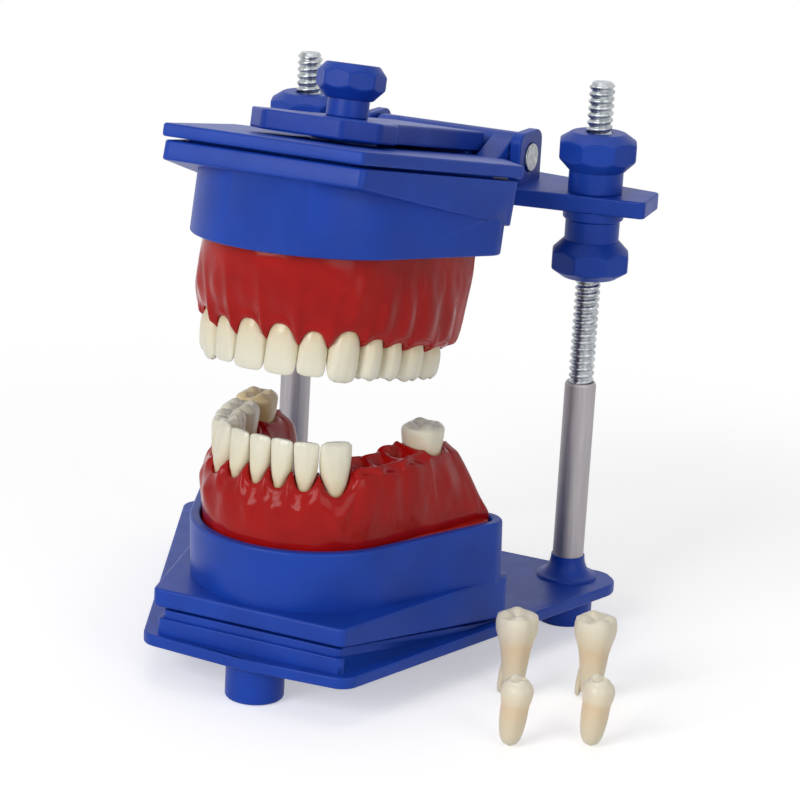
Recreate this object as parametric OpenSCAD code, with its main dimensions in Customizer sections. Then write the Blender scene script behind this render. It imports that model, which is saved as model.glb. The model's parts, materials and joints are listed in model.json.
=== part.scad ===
// Dental articulator with a removable-tooth model: base with two threaded posts, a height-adjustable
// bridge, a hinged upper frame with its clamp, and an upper and a lower jaw in wedge-shaped trays.
// Origin: centre of the front foot's sole. X to the patient's left, Y to the back, Z up. Millimetres.

/* [Base] */
// Height of the plate's underside above the floor
base_h = 9.1; // [6:0.1:20]
// Thickness of the base plate
base_t = 2.9; // [2:0.1:6]
// Half width of the front edge
base_front_half = 27.4; // [20:0.1:40]
// Distance from the front foot to the corners of the front edge
base_front_y = 6.4; // [5:0.1:20]
// How far the front edge bows forward at its middle
base_bow = 2.1; // [0.5:0.1:5]
// Distance from the post axes to the rear edge
base_rear_margin = 7.9; // [5:0.1:20]
// Width of the plate beyond the left post's axis
base_wing_left = 15.2; // [9:0.1:30]
// Width of the plate beyond the right post's axis
base_wing_right = 31.2; // [9:0.1:36]
// How far the rear edge is cut back at the wide wing
base_wing_cut = 10; // [2:0.5:20]
// Corner radius of the plate
base_corner_r = 5; // [1:0.5:8]
// Radius of the feet
foot_r = 7.05; // [4:0.05:10]
// Radius of the spigot and screw passage of the front foot
foot_spigot_r = 3; // [1.5:0.1:5]

/* [Posts] */
// Half distance between the post axes
post_x = 40.7; // [35:0.1:60]
// Distance of the post axes behind the front foot
post_y = 91.8; // [80:0.1:120]
// Radius of the threaded rods over the crests
rod_r = 3.2; // [2:0.05:5]
// Height of the left rod's top above the floor
rod_top_left = 140.5; // [134:0.1:180]
// Height of the right rod's top above the floor
rod_top_right = 138.3; // [134:0.1:180]
// Chamfer at the rod ends
rod_chamfer = 0.7; // [0.2:0.1:1.2]
// Depth of the rods below the underside of the plate
rod_sunk = 6; // [2:0.1:8]
// Wall of the sleeves
sleeve_wall = 0.75; // [0.5:0.05:2]
// Height of the sleeve tops above the floor
sleeve_top = 64; // [40:0.5:80]
// Height of the flared collars
collar_h = 5.8; // [3:0.1:10]
// Radius of the collars at the foot of the flare
collar_r = 7.7; // [6:0.1:9]
// Wall of the collars at their top
collar_wall = 0.3; // [0.2:0.05:2]

/* [Fits] */
// Radial clearance of turning and sliding pieces
run_gap = 0.06; // [0.02:0.01:0.1]
// Radial clearance of fixed pieces in their seats
seat_gap = 0.03; // [0.01:0.01:0.08]
// Clearance between moving faces
face_gap = 0.3; // [0.2:0.05:0.6]
// Clearance of the teeth in their sockets
socket_gap = 0.12; // [0.05:0.01:0.3]

/* [Trays] */
// Half width of the tray's front edge
tray_front_half = 25.4; // [20:0.1:32]
// Half width of the lower tray's rear edge
lower_rear_half = 42; // [34:0.1:46]
// Half width of the upper tray's rear edge
upper_rear_half = 40.2; // [34:0.1:46]
// Depth of the lower tray from front to back
lower_tray_len = 59.6; // [50:0.1:70]
// Depth of the upper tray from front to back
upper_tray_len = 56; // [50:0.1:70]
// Thickness of the flange at the front
flange_front = 4.5; // [3:0.1:8]
// Slope between the two faces of the flange, in degrees
wedge = 6.4; // [3:0.1:10]
// Height of the lower tray's rim above its flange
rim_h = 14.95; // [8:0.05:20]
// Height of the upper rim at the front above its flange
upper_rim_front = 17.8; // [12:0.1:22]
// Height of the upper rim at the back above its flange
upper_rim_rear = 6.3; // [3:0.1:14]
// Radius of the rim's round front
rim_r = 28.7; // [20:0.1:30]
// Setback of the rim behind the front edge
rim_setback = 2.1; // [1:0.1:8]
// Angle of the rim's straight sides to the fore-and-aft direction
rim_taper = 23; // [15:0.5:28]
// Radius of the rim's rear corners
rim_corner_r = 5.5; // [3.5:0.1:10]
// Distance of the rim's rear side from the tray's rear edge
rim_rear_gap = 0.5; // [0.3:0.1:4]
// Forward lean of the lower rim and backward lean of the upper one
rim_lean = 5; // [0:0.5:10]
// Wall of the rim
rim_wall = 2.6; // [1.5:0.1:5]
// Floor left under the model inside the rim
tray_floor = 1.5; // [1:0.1:4]

/* [Lower tray seat] */
// Distance of the tray's front edge ahead of the front foot
tray_front_y = 5.6; // [2:0.1:12]
// Height of the seat's front edge above the plate
seat_front = 7.05; // [4:0.05:10]
// Setback of each step of the seat
seat_step = 0.9; // [0.4:0.1:3]
// Gap that shows round the tray's underside
shadow_gap = 0.9; // [0.4:0.1:2]
// Inset of the raised seating face
seat_inset = 4; // [2:0.5:10]

/* [Bridge] */
// Height of the bridge's underside above the floor
bridge_z = 108.7; // [95:0.1:118]
// Thickness of the bridge plate
bridge_t = 4.3; // [3:0.1:8]
// Length of the bridge beyond each post axis
bridge_end = 15.4; // [10:0.1:20]
// Distance of the bridge's front edge ahead of the post axes at its middle
bridge_front = 10.6; // [8:0.1:16]
// Distance of the bridge's back edge behind the post axes at its middle
bridge_back = 15; // [10:0.1:20]
// Narrowing of the bridge towards its ends at the front
bridge_taper_front = 5.4; // [1:0.1:7]
// Narrowing of the bridge towards its ends at the back
bridge_taper_back = 5; // [1:0.1:10]
// Radius of the boss under each bridge hole
boss_r = 7.6; // [5:0.1:10]
// Height of the boss under each bridge hole
boss_h = 2.5; // [1:0.1:5]
// Clearance of the rods in the bridge holes
bridge_hole_gap = 0.4; // [0.2:0.05:0.8]

/* [Nuts] */
// Width across the flats of the eight-sided nuts
nut_flats = 19; // [14:0.1:24]
// Radius that the nut's corners are turned down to
nut_turned_r = 10.15; // [9.6:0.05:13]
// Radius of the nut's end faces
nut_face_r = 6.7; // [5:0.1:9]
// Height of the eight-sided part
nut_grip_h = 9.6; // [6:0.1:14]
// Height of the bevel at the free end of the nuts and knobs
bevel_end = 2.3; // [1:0.1:3]
// Height of the bevel at the neck of the nuts and knobs
bevel_neck = 3.2; // [1:0.1:5]
// Radius of the nut's neck
nut_neck_r = 6.8; // [5:0.1:9]
// Length of the nut's neck
nut_neck_h = 5.4; // [3:0.1:10]

/* [Hinge] */
// Height of the hinge axis above the bridge
hinge_h = 6.2; // [5:0.1:10]
// Radius of the hinge pin
pin_r = 3.6; // [2:0.05:4]
// Half depth of the bridge's ears
ear_half = 6.9; // [5:0.1:9]
// Height of the ears above the hinge axis
ear_top = 6.6; // [5:0.1:9]
// Radius of the ears' upper corners
ear_round = 3; // [1:0.1:5]
// Thickness of each ear
ear_t = 3; // [2:0.1:5]
// Half width of the hinge block of the upper frame
block_half = 19.5; // [15:0.1:24]
// Side clearance between block and ears
ear_gap = 0.3; // [0.2:0.05:0.6]
// How far the pin stands out of the ears
pin_proud = 0.5; // [0.1:0.1:2]
// Width of the ramps at the sides of the block
ramp_w = 6; // [4:0.1:8]
// Length of the ramps ahead of the hinge axis
ramp_len = 13; // [8:0.5:20]
// Opening angle of the jaws as modelled
rest_open = 9.9; // [2:0.1:40]

/* [Upper frame] */
// Distance of the frame's front edge from the hinge axis
frame_len = 101; // [90:0.5:115]
// Depth of the frame's top face below the hinge axis
frame_drop = 1; // [0:0.1:3]
// Thickness of the frame plate
frame_t = 3.1; // [2:0.1:5]
// Gap that shows between frame and upper tray
upper_shadow = 0.7; // [0.3:0.1:2]
// Distance of the frame's widest corners ahead of the hinge axis
frame_rear_s = 43; // [36:0.5:60]
// Distance from the hinge axis to the clamp screw
clamp_s = 60; // [55:0.5:70]

/* [Clamp] */
// Thickness of the clamp bar
clamp_t = 4.7; // [3:0.1:8]
// Height of the clamp bar's underside above the frame plate
clamp_lift = 1.1; // [0.5:0.1:3]
// Half width of the clamp's head
head_half = 17.1; // [15:0.1:24]
// Half width of the head's front face
head_front_half = 10.2; // [6:0.1:14]
// Distance of the head's front face from the clamp screw
head_front = 22.8; // [16:0.1:30]
// Length of the head's straight sides
head_side = 9.2; // [4:0.1:14]
// Half width of the clamp's tail bar
tail_half = 12.6; // [8:0.1:13]
// Distance of the tail's end from the hinge axis
tail_s = 6.3; // [6:0.1:12]
// Radius of the clamp screw
screw_r = 3; // [2:0.1:4]
// Width across the flats of the eight-sided clamp knobs
knob_flats = 15.5; // [12:0.1:20]
// Radius that the knob's corners are turned down to
knob_turned_r = 8.25; // [7.8:0.05:11]
// Height of the knob's eight-sided part
knob_grip_h = 8.4; // [6:0.1:14]
// Radius of the knob's neck
knob_neck_r = 5; // [4:0.1:7]
// Length of the knob's neck
knob_neck_h = 4.3; // [1:0.1:8]
// Height of the flat knob under the base
low_knob_h = 5.4; // [3:0.1:7]

/* [Jaws] */
// Height of the lower biting edges above the floor
bite_z = 63.3; // [58:0.1:72]
// Distance of the upper biting edges below the hinge axis
bite_drop = 54.1; // [50:0.1:60]
// Position of the lower front biting edges behind the front foot
lower_arch_y = 3.1; // [0:0.1:12]
// Position of the upper front biting edges ahead of the hinge axis
upper_arch_s = 86.1; // [80:0.1:96]
// Half width of the lower arch through the contacts of the teeth
lower_arch_half = 24.4; // [20:0.1:28]
// Half width of the upper arch through the contacts of the teeth
upper_arch_half = 25.6; // [22:0.1:29]
// Depth of both arches
arch_len = 45.2; // [40:0.1:52]
// Squareness of both arches
arch_power = 2.7; // [2:0.1:3.2]
// Share of a tooth's depth by which its middle lies inside the line of the contacts
contact_share = 0.15; // [0:0.01:0.3]
// Gap between neighbouring teeth
tooth_gap = 0.12; // [0.05:0.01:0.3]
// Length of the roots inside their sockets
root_len = 7; // [4:0.5:10]
// Depth to which the crowns sit in the gum
crown_sunk = 1.6; // [1:0.1:3]
// Height of the lumps over the roots
root_bulge = 0.9; // [0:0.1:2]
// Clearance of the gum inside the rim
gum_gap = 0.15; // [0.05:0.05:0.5]

/* [Loose teeth] */
// Distance of the first loose tooth to the left of the midline
loose_x = 46; // [44:0.5:80]
// Distance between the two loose pairs
loose_pitch = 17.5; // [12:0.5:30]

/* [Hidden] */
$fn = 96;
tiny = 0.01;
// Rounds reach this far past the straight edges that they join, so that the edges cross cleanly
overlap = 0.002;
base_top = base_h + base_t;
lower_flange_z = base_top + seat_front + flange_front;
lower_rim_z = lower_flange_z + rim_h;
bridge_top = bridge_z + bridge_t;
pin_y = post_y;
pin_z = bridge_top + hinge_h;
ear_x = block_half + ear_gap;
sleeve_r = rod_r + seat_gap + sleeve_wall;
bridge_hole_r = rod_r + bridge_hole_gap;
tray_top_h = -frame_drop - frame_t - upper_shadow;
upper_flange_h = tray_top_h - flange_front;
tray_s = frame_len - 1;
clamp_z = -frame_drop + clamp_lift;
knob_z = clamp_z + clamp_t;
lower_knob_y = -tray_front_y + lower_tray_len * 0.52;
lower_size = [lower_rear_half, lower_tray_len];
upper_size = [upper_rear_half, upper_tray_len];
// How far the gum stands over the edge of the rim before it turns into the ridge
gum_over = 0.8;
lower_foot_z = lower_rim_z - bite_z;
upper_lean = upper_rim_front * (sin(wedge) - tan(rim_lean) * cos(wedge));
// Heights of the upper rim's edge at the front and at the back of the tray, from the bite plane
upper_edge = [for (p = [[0, upper_rim_front], [upper_tray_len, upper_rim_rear]])
    p[1] * cos(wedge) + p[0] * sin(wedge) - upper_flange_h - bite_drop];

// Crowns from the midline back: width, depth, visible height, kind, reach beyond the bite plane.
// Kinds: 1 cutting edge, 2 pointed, 3 two cusps, 4 four cusps
upper_teeth = [[7.8, 7, 11.3, 1, 0.4], [6.6, 6.2, 10.6, 1, -0.2], [7.4, 7.8, 11.6, 2, 0.5], [6.1, 8,
    10.2, 3, 0.1],
    [5.8, 8, 9.6, 3, 0], [8.2, 9.4, 9.2, 4, 0], [7.6, 9, 8.8, 4, -0.3]];
lower_teeth = [[5.4, 6, 12.2, 1, 0], [6, 6.2, 12.2, 1, 0], [7.2, 7.4, 13.2, 2, 0.4], [6.4, 7.4, 11.2, 3, 0],
    [6.4, 7.6, 10.4, 3, -0.2], [9.3, 9.2, 9.4, 4, -0.4], [9.2, 9, 9, 4, -0.8]];
// Lower positions left empty on the patient's left
missing = [3, 4, 5];

// ---- outlines with true round corners ----
function unit(v) = v / norm(v);
function turned(v) = [v[1], -v[0]];
// Centre of the round in corner b of a convex outline that runs anticlockwise
function round_centre(a, b, c, r) =
    let (u = unit(b - a), v = unit(c - b), k = r * tan(acos(max(-1, min(1, u * v))) / 2))
    b - u * k - turned(u) * r;
function round_points(p, r) = let (n = len(p)) [for (i = [0:n - 1])
    let (a = p[(i + n - 1) % n], b = p[i], c = p[(i + 1) % n], m = round_centre(a, b, c, r[i]))
    each [m + turned(unit(b - a)) * r[i], m + turned(unit(c - b)) * r[i]]];
module rounded(p, r) {
    n = len(p);
    polygon(round_points(p, r));
    for (i = [0:n - 1]) translate(round_centre(p[(i + n - 1) % n], p[i], p[(i + 1) % n], r[i]))
        circle(r[i] + overlap);
}

// ---- base ----
base_outline = [[-base_front_half, -base_front_y], [0, -base_front_y - base_bow],
    [base_front_half, -base_front_y], [post_x + base_wing_left, post_y + base_rear_margin],
    [-post_x - 5, post_y + base_rear_margin], [-post_x - base_wing_right,
        post_y + base_rear_margin - base_wing_cut]];
module flare(bore) {
    steps = 7;
    top_r = sleeve_r + seat_gap + collar_wall;
    rotate_extrude() polygon(concat([[bore, 0], [collar_r, 0]],
        [for (i = [0:steps]) let (a = 90 * i / steps)
            [collar_r - (collar_r - top_r) * sin(a), 0.6 + (collar_h - 0.6) * (1 - cos(a))]],
        [[bore, collar_h]]));
}
module tray_outline(size, inset) {
    f = tray_front_half - inset;
    r = size[0] - inset;
    rounded([[-f, inset], [f, inset], [r, size[1] - inset], [-r, size[1] - inset]], [2, 2, 3, 3]);
}
// Wedge whose top falls to the back by the same angle as the underside of the tray
module seat_wedge(inset, front, drop) {
    difference() {
        translate([0, -tray_front_y, base_top - tiny]) linear_extrude(front + 1) tray_outline(lower_size,
            inset);
        translate([-60, -tray_front_y, base_top + front - drop]) rotate([-wedge, 0, 0]) translate([0, -20, 0])
            cube([120, 120, 30]);
    }
}
module base_plate() color("#2846aa") difference() {
    union() {
        translate([0, 0, base_h]) linear_extrude(base_t)
            rounded(base_outline, [base_corner_r, 10, base_corner_r, base_corner_r + 3, 4,
                base_corner_r + 1]);
        seat_wedge(seat_step, seat_front, 2 * shadow_gap + 1.2);
        seat_wedge(2 * seat_step, seat_front, shadow_gap);
        seat_wedge(seat_inset, seat_front, 0);
        for (s = [-1, 1]) translate([s * post_x, post_y, base_top - tiny]) flare(sleeve_r + seat_gap);
    }
    for (s = [-1, 1]) translate([s * post_x, post_y, base_h - 1]) cylinder(r = rod_r + seat_gap,
        h = base_t + 2);
    translate([0, 0, base_h - 1]) cylinder(r = foot_spigot_r + seat_gap, h = base_t + 1);
    translate([0, lower_knob_y, base_h - 1]) cylinder(r = screw_r + run_gap, h = 30);
}
module foot_body() cylinder(r = foot_r, h = base_h);
module front_foot() color("#2846aa") {
    foot_body();
    cylinder(r = foot_spigot_r, h = base_h + base_t - 0.5);
}
module rear_foot(s) color("#2846aa") translate([s * post_x, post_y, 0]) difference() {
    foot_body();
    translate([0, 0, base_h - rod_sunk]) cylinder(r = rod_r + seat_gap, h = rod_sunk + 1);
}
module rear_foot_left() rear_foot(1);
module rear_foot_right() rear_foot(-1);
module sleeve(s) color("#a09b9e") translate([s * post_x, post_y, base_top]) difference() {
    union() {
        cylinder(r = sleeve_r, h = sleeve_top - base_top - 0.8);
        translate([0, 0, sleeve_top - base_top - 0.8]) cylinder(r1 = sleeve_r, r2 = sleeve_r - 0.4, h = 0.8);
    }
    translate([0, 0, -1]) cylinder(r = rod_r + seat_gap, h = sleeve_top);
}
module sleeve_left() sleeve(1);
module sleeve_right() sleeve(-1);
module rod(s, top) color("#9aa0a4") translate([s * post_x, post_y, base_h - rod_sunk]) {
    long = top - base_h + rod_sunk;
    cylinder(r = rod_r, h = long - rod_chamfer);
    translate([0, 0, long - rod_chamfer]) cylinder(r1 = rod_r, r2 = rod_r - rod_chamfer, h = rod_chamfer);
}
module rod_left() rod(1, rod_top_left);
module rod_right() rod(-1, rod_top_right);

// ---- trays, drawn with the flange's model side at z = 0 and the model side up ----
// The rim is round in front, runs straight to its rear corners and is rounded there
rim_mid = [0, rim_setback + rim_r];
rim_out = [cos(rim_taper), -sin(rim_taper)];
rim_side = rim_mid * rim_out + rim_r;
function rim_back(len) = let (y = len - rim_rear_gap - rim_corner_r)
    [(rim_side - rim_corner_r - y * rim_out[1]) / rim_out[0], y];
module rim_outline(len, inset) {
    touch = rim_mid + (rim_r - inset) * rim_out;
    back = rim_back(len);
    turn = rim_corner_r - inset;
    polygon([for (s = [1, -1]) each [for (p = s > 0 ? [touch, back + turn * rim_out, back + [0, turn]]
        : [back + [0, turn], back + turn * rim_out, touch]) [s * p[0], p[1]]]]);
    translate(rim_mid) circle(rim_r - inset + overlap);
    for (s = [-1, 1]) translate([s * back[0], back[1]]) circle(turn + overlap);
}
// Leaning prism over the rim's outline that starts level at the height floor
module rim_prism(len, lean, inset, floor, $fn = $fn) difference() {
    rotate([lean, 0, 0]) translate([0, 0, floor - 8]) linear_extrude(45) rim_outline(len, inset);
    translate([-60, -40, floor - 40]) cube([120, 140, 40]);
}
// Everything above the plane that rises from front_h at y = 0 to rear_h at the back
module above(size, front_h, rear_h) translate([-60, 0, front_h]) rotate([atan((rear_h - front_h)
    / size[1]), 0, 0])
    translate([0, -30, 0]) cube([120, 140, 60]);
module flange(size) difference() {
    translate([0, 0, -20]) linear_extrude(20) tray_outline(size, 0);
    translate([-60, 0, -flange_front]) rotate([-wedge, 0, 0]) translate([0, -20, -30]) cube([120, 120, 30]);
}
module tray(size, lean, front_h, rear_h) difference() {
    union() {
        flange(size);
        difference() {
            rim_prism(size[1], lean, 0, -1);
            above(size, front_h, rear_h);
        }
    }
    rim_prism(size[1], lean, rim_wall, tray_floor - flange_front);
}
// The gum's body inside the rim, a little higher than the rim
module gum_block(size, lean, front_h, rear_h) difference() {
    rim_prism(size[1], lean, rim_wall + gum_gap, tray_floor - flange_front + tiny, $fn = 48);
    above(size, front_h + gum_over, rear_h + gum_over);
}
// Keeps the ridge clear of the rim
module rim_clearance(size, lean, front_h, rear_h) difference() {
    rim_prism(size[1], lean, -6, -3, $fn = 48);
    rim_prism(size[1], lean, rim_wall + gum_gap / 2, -4, $fn = 48);
    above(size, front_h + gum_gap / 2, rear_h + gum_gap / 2);
}
module lower_place() translate([0, -tray_front_y, lower_flange_z]) children();
module lower_tray() color("#2846aa") difference() {
    lower_place() tray(lower_size, rim_lean, rim_h, rim_h);
    translate([0, lower_knob_y, base_h]) cylinder(r = screw_r + run_gap, h = lower_flange_z - base_h);
}

// ---- eight-sided knobs and nuts, turned down at the corners, free end at the top ----
module turned_grip(flats, turned_r, face_r, neck_r, h) intersection() {
    cylinder(r = flats / 2 / cos(22.5), h = h, $fn = 8);
    rotate_extrude() polygon([[0, 0], [neck_r, 0], [turned_r, min(bevel_neck, h * 0.35)],
        [turned_r, h - min(bevel_end, h * 0.3)], [face_r, h], [0, h]]);
}
module nut(s, up) color("#2846aa") translate([s * post_x, post_y, up ? bridge_top : bridge_z - boss_h])
    scale([1, 1, up ? 1 : -1]) difference() {
        union() {
            cylinder(r = nut_neck_r, h = nut_neck_h + tiny);
            translate([0, 0, nut_neck_h]) turned_grip(nut_flats, nut_turned_r, nut_face_r,
                nut_neck_r + 0.2, nut_grip_h);
        }
        translate([0, 0, -1]) cylinder(r = rod_r + run_gap, h = nut_neck_h + nut_grip_h + 2);
    }
module nut_upper_left() nut(1, true);
module nut_upper_right() nut(-1, true);
module nut_lower_left() nut(1, false);
module nut_lower_right() nut(-1, false);
module lower_clamp_knob() color("#2846aa") translate([0, lower_knob_y, 0]) {
    translate([0, 0, base_h - face_gap]) scale([1, 1, -1])
        turned_grip(knob_flats + 3, knob_turned_r + 1.6, knob_turned_r - 0.6, knob_turned_r - 0.6,
            low_knob_h);
    translate([0, 0, base_h - face_gap - tiny]) cylinder(r = screw_r,
        h = lower_flange_z - base_h + face_gap - 5);
}

// ---- bridge ----
bridge_outline = [[-post_x - bridge_end, post_y - bridge_front + bridge_taper_front],
    [-24, post_y - bridge_front], [24, post_y - bridge_front],
    [post_x + bridge_end, post_y - bridge_front + bridge_taper_front],
    [post_x + bridge_end - 2, post_y + bridge_back - bridge_taper_back],
    [14, post_y + bridge_back], [-14, post_y + bridge_back],
    [-post_x - bridge_end + 2, post_y + bridge_back - bridge_taper_back]];
module ear(s) translate([s > 0 ? ear_x : -ear_x - ear_t, pin_y, pin_z]) rotate([90, 0, 90])
    linear_extrude(ear_t) {
    translate([-ear_half, -hinge_h - tiny]) square([2 * ear_half, hinge_h + ear_top - ear_round + tiny]);
    translate([ear_round - ear_half, 0]) square([2 * (ear_half - ear_round), ear_top]);
    for (k = [-1, 1]) translate([k * (ear_half - ear_round), ear_top - ear_round])
        circle(ear_round + overlap);
}
module bridge() color("#2846aa") difference() {
    union() {
        translate([0, 0, bridge_z]) linear_extrude(bridge_t) rounded(bridge_outline, [1.5, 6, 6, 1.5,
            1.5, 6, 6, 1.5]);
        for (s = [-1, 1]) {
            ear(s);
            translate([s * post_x, post_y, bridge_z - boss_h]) cylinder(r = boss_r, h = boss_h + tiny);
        }
    }
    for (s = [-1, 1]) translate([s * post_x, post_y, bridge_z - boss_h - 1])
        cylinder(r = bridge_hole_r, h = bridge_t + boss_h + 2);
    translate([-60, pin_y, pin_z]) rotate([0, 90, 0]) cylinder(r = pin_r + seat_gap, h = 120);
}
module hinge_pin() color("#b0b4b8") translate([-ear_x - ear_t - pin_proud, pin_y, pin_z]) rotate([0, 90, 0])
    cylinder(r = pin_r, h = 2 * (ear_x + ear_t + pin_proud));

// ---- upper frame, drawn level with the hinge axis at the origin, then opened ----
module upper_place() translate([0, pin_y, pin_z]) rotate([-rest_open, 0, 0]) children();
frame_outline = [[-tray_front_half, -frame_len], [tray_front_half, -frame_len], [upper_rear_half - 0.7,
    -frame_rear_s],
    [block_half, -ear_half - 1.5], [block_half, 0], [-block_half, 0], [-block_half, -ear_half - 1.5],
    [-upper_rear_half + 0.7, -frame_rear_s]];
block_r = hinge_h - face_gap;
module upper_frame() color("#2846aa") upper_place() difference() {
    union() {
        translate([0, 0, -frame_drop - frame_t]) linear_extrude(frame_t) polygon(frame_outline);
        translate([-block_half, 0, 0]) rotate([0, 90, 0]) cylinder(r = block_r, h = 2 * block_half);
        for (s = [-1, 1]) translate([s > 0 ? block_half - ramp_w : -block_half, 0, 0]) rotate([90, 0, 90])
            linear_extrude(ramp_w) polygon([[0, -frame_drop - frame_t], [-ramp_len, -frame_drop - tiny],
                [-2.5, block_r - 0.4], [0, block_r]]);
        translate([0, -tray_s, tray_top_h]) linear_extrude(upper_shadow + tiny) tray_outline(upper_size,
            seat_inset);
        translate([0, -clamp_s, -frame_drop - tiny]) cylinder(r = knob_neck_r + 3, h = clamp_lift + tiny);
        translate([-tail_half + 2, -ramp_len + 1, -frame_drop - tiny])
            cube([2 * tail_half - 4, 5, clamp_lift + tiny]);
    }
    translate([-60, 0, 0]) rotate([0, 90, 0]) cylinder(r = pin_r + run_gap, h = 120);
    translate([0, -clamp_s, -frame_drop - frame_t - 1]) cylinder(r = screw_r + run_gap, h = 20);
}
module head_outline() polygon([[-head_front_half, -head_front], [head_front_half, -head_front],
    [head_half, -head_front + head_half - head_front_half],
    [head_half, -head_front + head_half - head_front_half + head_side],
    [tail_half, -head_front + 2 * head_half - head_front_half - tail_half + head_side],
    [tail_half, clamp_s - tail_s], [-tail_half, clamp_s - tail_s],
    [-tail_half, -head_front + 2 * head_half - head_front_half - tail_half + head_side],
    [-head_half, -head_front + head_half - head_front_half + head_side],
    [-head_half, -head_front + head_half - head_front_half]]);
module clamp_bar() color("#2846aa") upper_place() translate([0, -clamp_s, clamp_z]) difference() {
    linear_extrude(clamp_t) head_outline();
    translate([0, 0, -1]) cylinder(r = screw_r + run_gap, h = clamp_t + 2);
}
module clamp_knob() color("#2846aa") upper_place() translate([0, -clamp_s, 0]) {
    translate([0, 0, knob_z]) cylinder(r = knob_neck_r, h = knob_neck_h);
    translate([0, 0, knob_z + knob_neck_h - tiny]) rotate([0, 0, 22.5])
        turned_grip(knob_flats, knob_turned_r, knob_turned_r - 1.9, knob_neck_r + 0.6, knob_grip_h);
    translate([0, 0, tray_top_h - 3]) cylinder(r = screw_r, h = knob_z - tray_top_h + 3 + tiny);
}
// Turns the wedge so that its outer face lies level under the frame
module tray_place() translate([0, -tray_s, upper_flange_h]) scale([1, 1, -1]) rotate([wedge, 0, 0])
    children();
module upper_tray() color("#2846aa") upper_place() difference() {
    tray_place() tray(upper_size, -rim_lean, upper_rim_front, upper_rim_rear);
    translate([0, -clamp_s, tray_top_h - 12]) cylinder(r = screw_r + run_gap, h = 13);
}

// ---- jaws, drawn with the bite plane at z = 0, the teeth pointing up and the front middle at y = 0 ----
function arch_point(a, half) = [half * pow(sin(a), 2 / arch_power), arch_len * (1 - pow(cos(a),
    2 / arch_power))];
function arch_curve(half) = [for (a = [0:1.5:90]) arch_point(a, half)];
// Pairs of distance along the curve and index, for looking up positions by distance
function running(p) = [for (i = 0, s = 0; i < len(p); s = i + 1 < len(p) ? s + norm(p[i + 1] - p[i]) : s,
    i = i + 1)
    [s, i]];
function along(p, run, s) = let (i = lookup(abs(s), run), k = min(floor(i), len(p) - 2),
    q = p[k] + (p[k + 1] - p[k]) *
    (i - k)) [s < 0 ? -q[0] : q[0], q[1]];
function heading(p, run, s) = let (d = along(p, run, s + 0.4) - along(p, run, s - 0.4)) atan2(d[1], d[0]);
function width_before(teeth, k) = k == 0 ? 0 : teeth[k - 1][0] + tooth_gap + width_before(teeth, k - 1);
function tooth_at(teeth, k, side) = side * (width_before(teeth, k) + (teeth[k][0] + tooth_gap) / 2);
function signed_pow(v, e) = sign(v) * pow(abs(v), e);
// One cross-section of a tooth: height, half width, half depth, shift to the tongue side
function section(z, w, d, shift, n) = [for (i = [0:n - 1]) let (a = 360 * (i + 0.5) / n)
    [w * signed_pow(cos(a), 0.8), shift + d * signed_pow(sin(a), 0.85), z]];
// Skin over equal cross-sections, closed by a flat bottom and by a fan to the middle of the top
module skin(rings, peak) {
    n = len(rings[0]);
    m = len(rings);
    polyhedron([for (r = rings) each r, peak], concat(
        [for (j = [0:m - 2], i = [0:n - 1]) [j * n + i, (j + 1) * n + i, j * n + (i + 1) % n]],
        [for (j = [0:m - 2], i = [0:n - 1]) [j * n + (i + 1) % n, (j + 1) * n + i, (j + 1) * n + (i + 1)
            % n]],
        [for (i = [1:n - 2]) [0, i, i + 1]], [for (i = [0:n - 1]) [(m - 1) * n + i, m * n, (m - 1)
            * n + (i + 1) % n]]));
}
tooth_sides = 16;
function root_rings(w, d, sunk) = [section(-sunk - root_len, w * 0.56, d * 0.56, 0, tooth_sides),
    section(-sunk, w * 0.8, d * 0.84, 0, tooth_sides)];
// Height of the chewing surface over the outline: ridges between grooves
function cusp(x, y, w, d, kind) = kind == 4 ? 0.75 * cos(360 * x / w) * -1 + 0.45 * abs(y) / d - 0.75
    : 0.9 * abs(y) / d - 0.7;
function chewing(w, d, h, kind, k, n) = [for (p = section(h, w * k, d * k, 0, n))
    [p[0], p[1], h + cusp(p[0], p[1], 2 * w, 2 * d, kind) * (k > 0.8 ? 0.8 : 1)]];
// A tooth with its gum line at z = 0
module tooth_shape(t) {
    w = t[0] / 2;
    d = t[1] / 2;
    h = t[2] + t[4];
    n = tooth_sides;
    low = root_rings(w, d, crown_sunk);
    if (t[3] <= 2)
        skin(concat(low, [section(0, w * 0.84, d * 0.92, -d * 0.04, n), section(h * 0.2, w * 0.92, d,
            -d * 0.08, n),
            section(h * 0.5, w * 0.98, d * 0.8, -d * 0.2, n), section(h * 0.76, w, d * 0.5, -d * 0.34, n)],
            t[3] == 1 ? [section(h * 0.95, w * 0.97, d * 0.24, -d * 0.4, n), section(h, w * 0.9,
                d * 0.12, -d * 0.42, n)]
            : [section(h * 0.9, w * 0.66, d * 0.3, -d * 0.36, n), section(h, w * 0.16, d * 0.1,
                -d * 0.36, n)]),
            [0, -d * (t[3] == 1 ? 0.42 : 0.36), h]);
    else
        skin(concat(low, [section(0, w * 0.86, d * 0.9, 0, n), section(h * 0.3, w * 0.96, d, 0, n),
            section(h * 0.62, w, d * 0.97, 0, n), section(h * 0.84, w * 0.95, d * 0.88, 0, n)],
            [chewing(w, d, h, t[3], 0.78, n), chewing(w, d, h - 0.7, t[3], 0.4, n)]),
            [0, 0, h - 2]);
}
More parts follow.
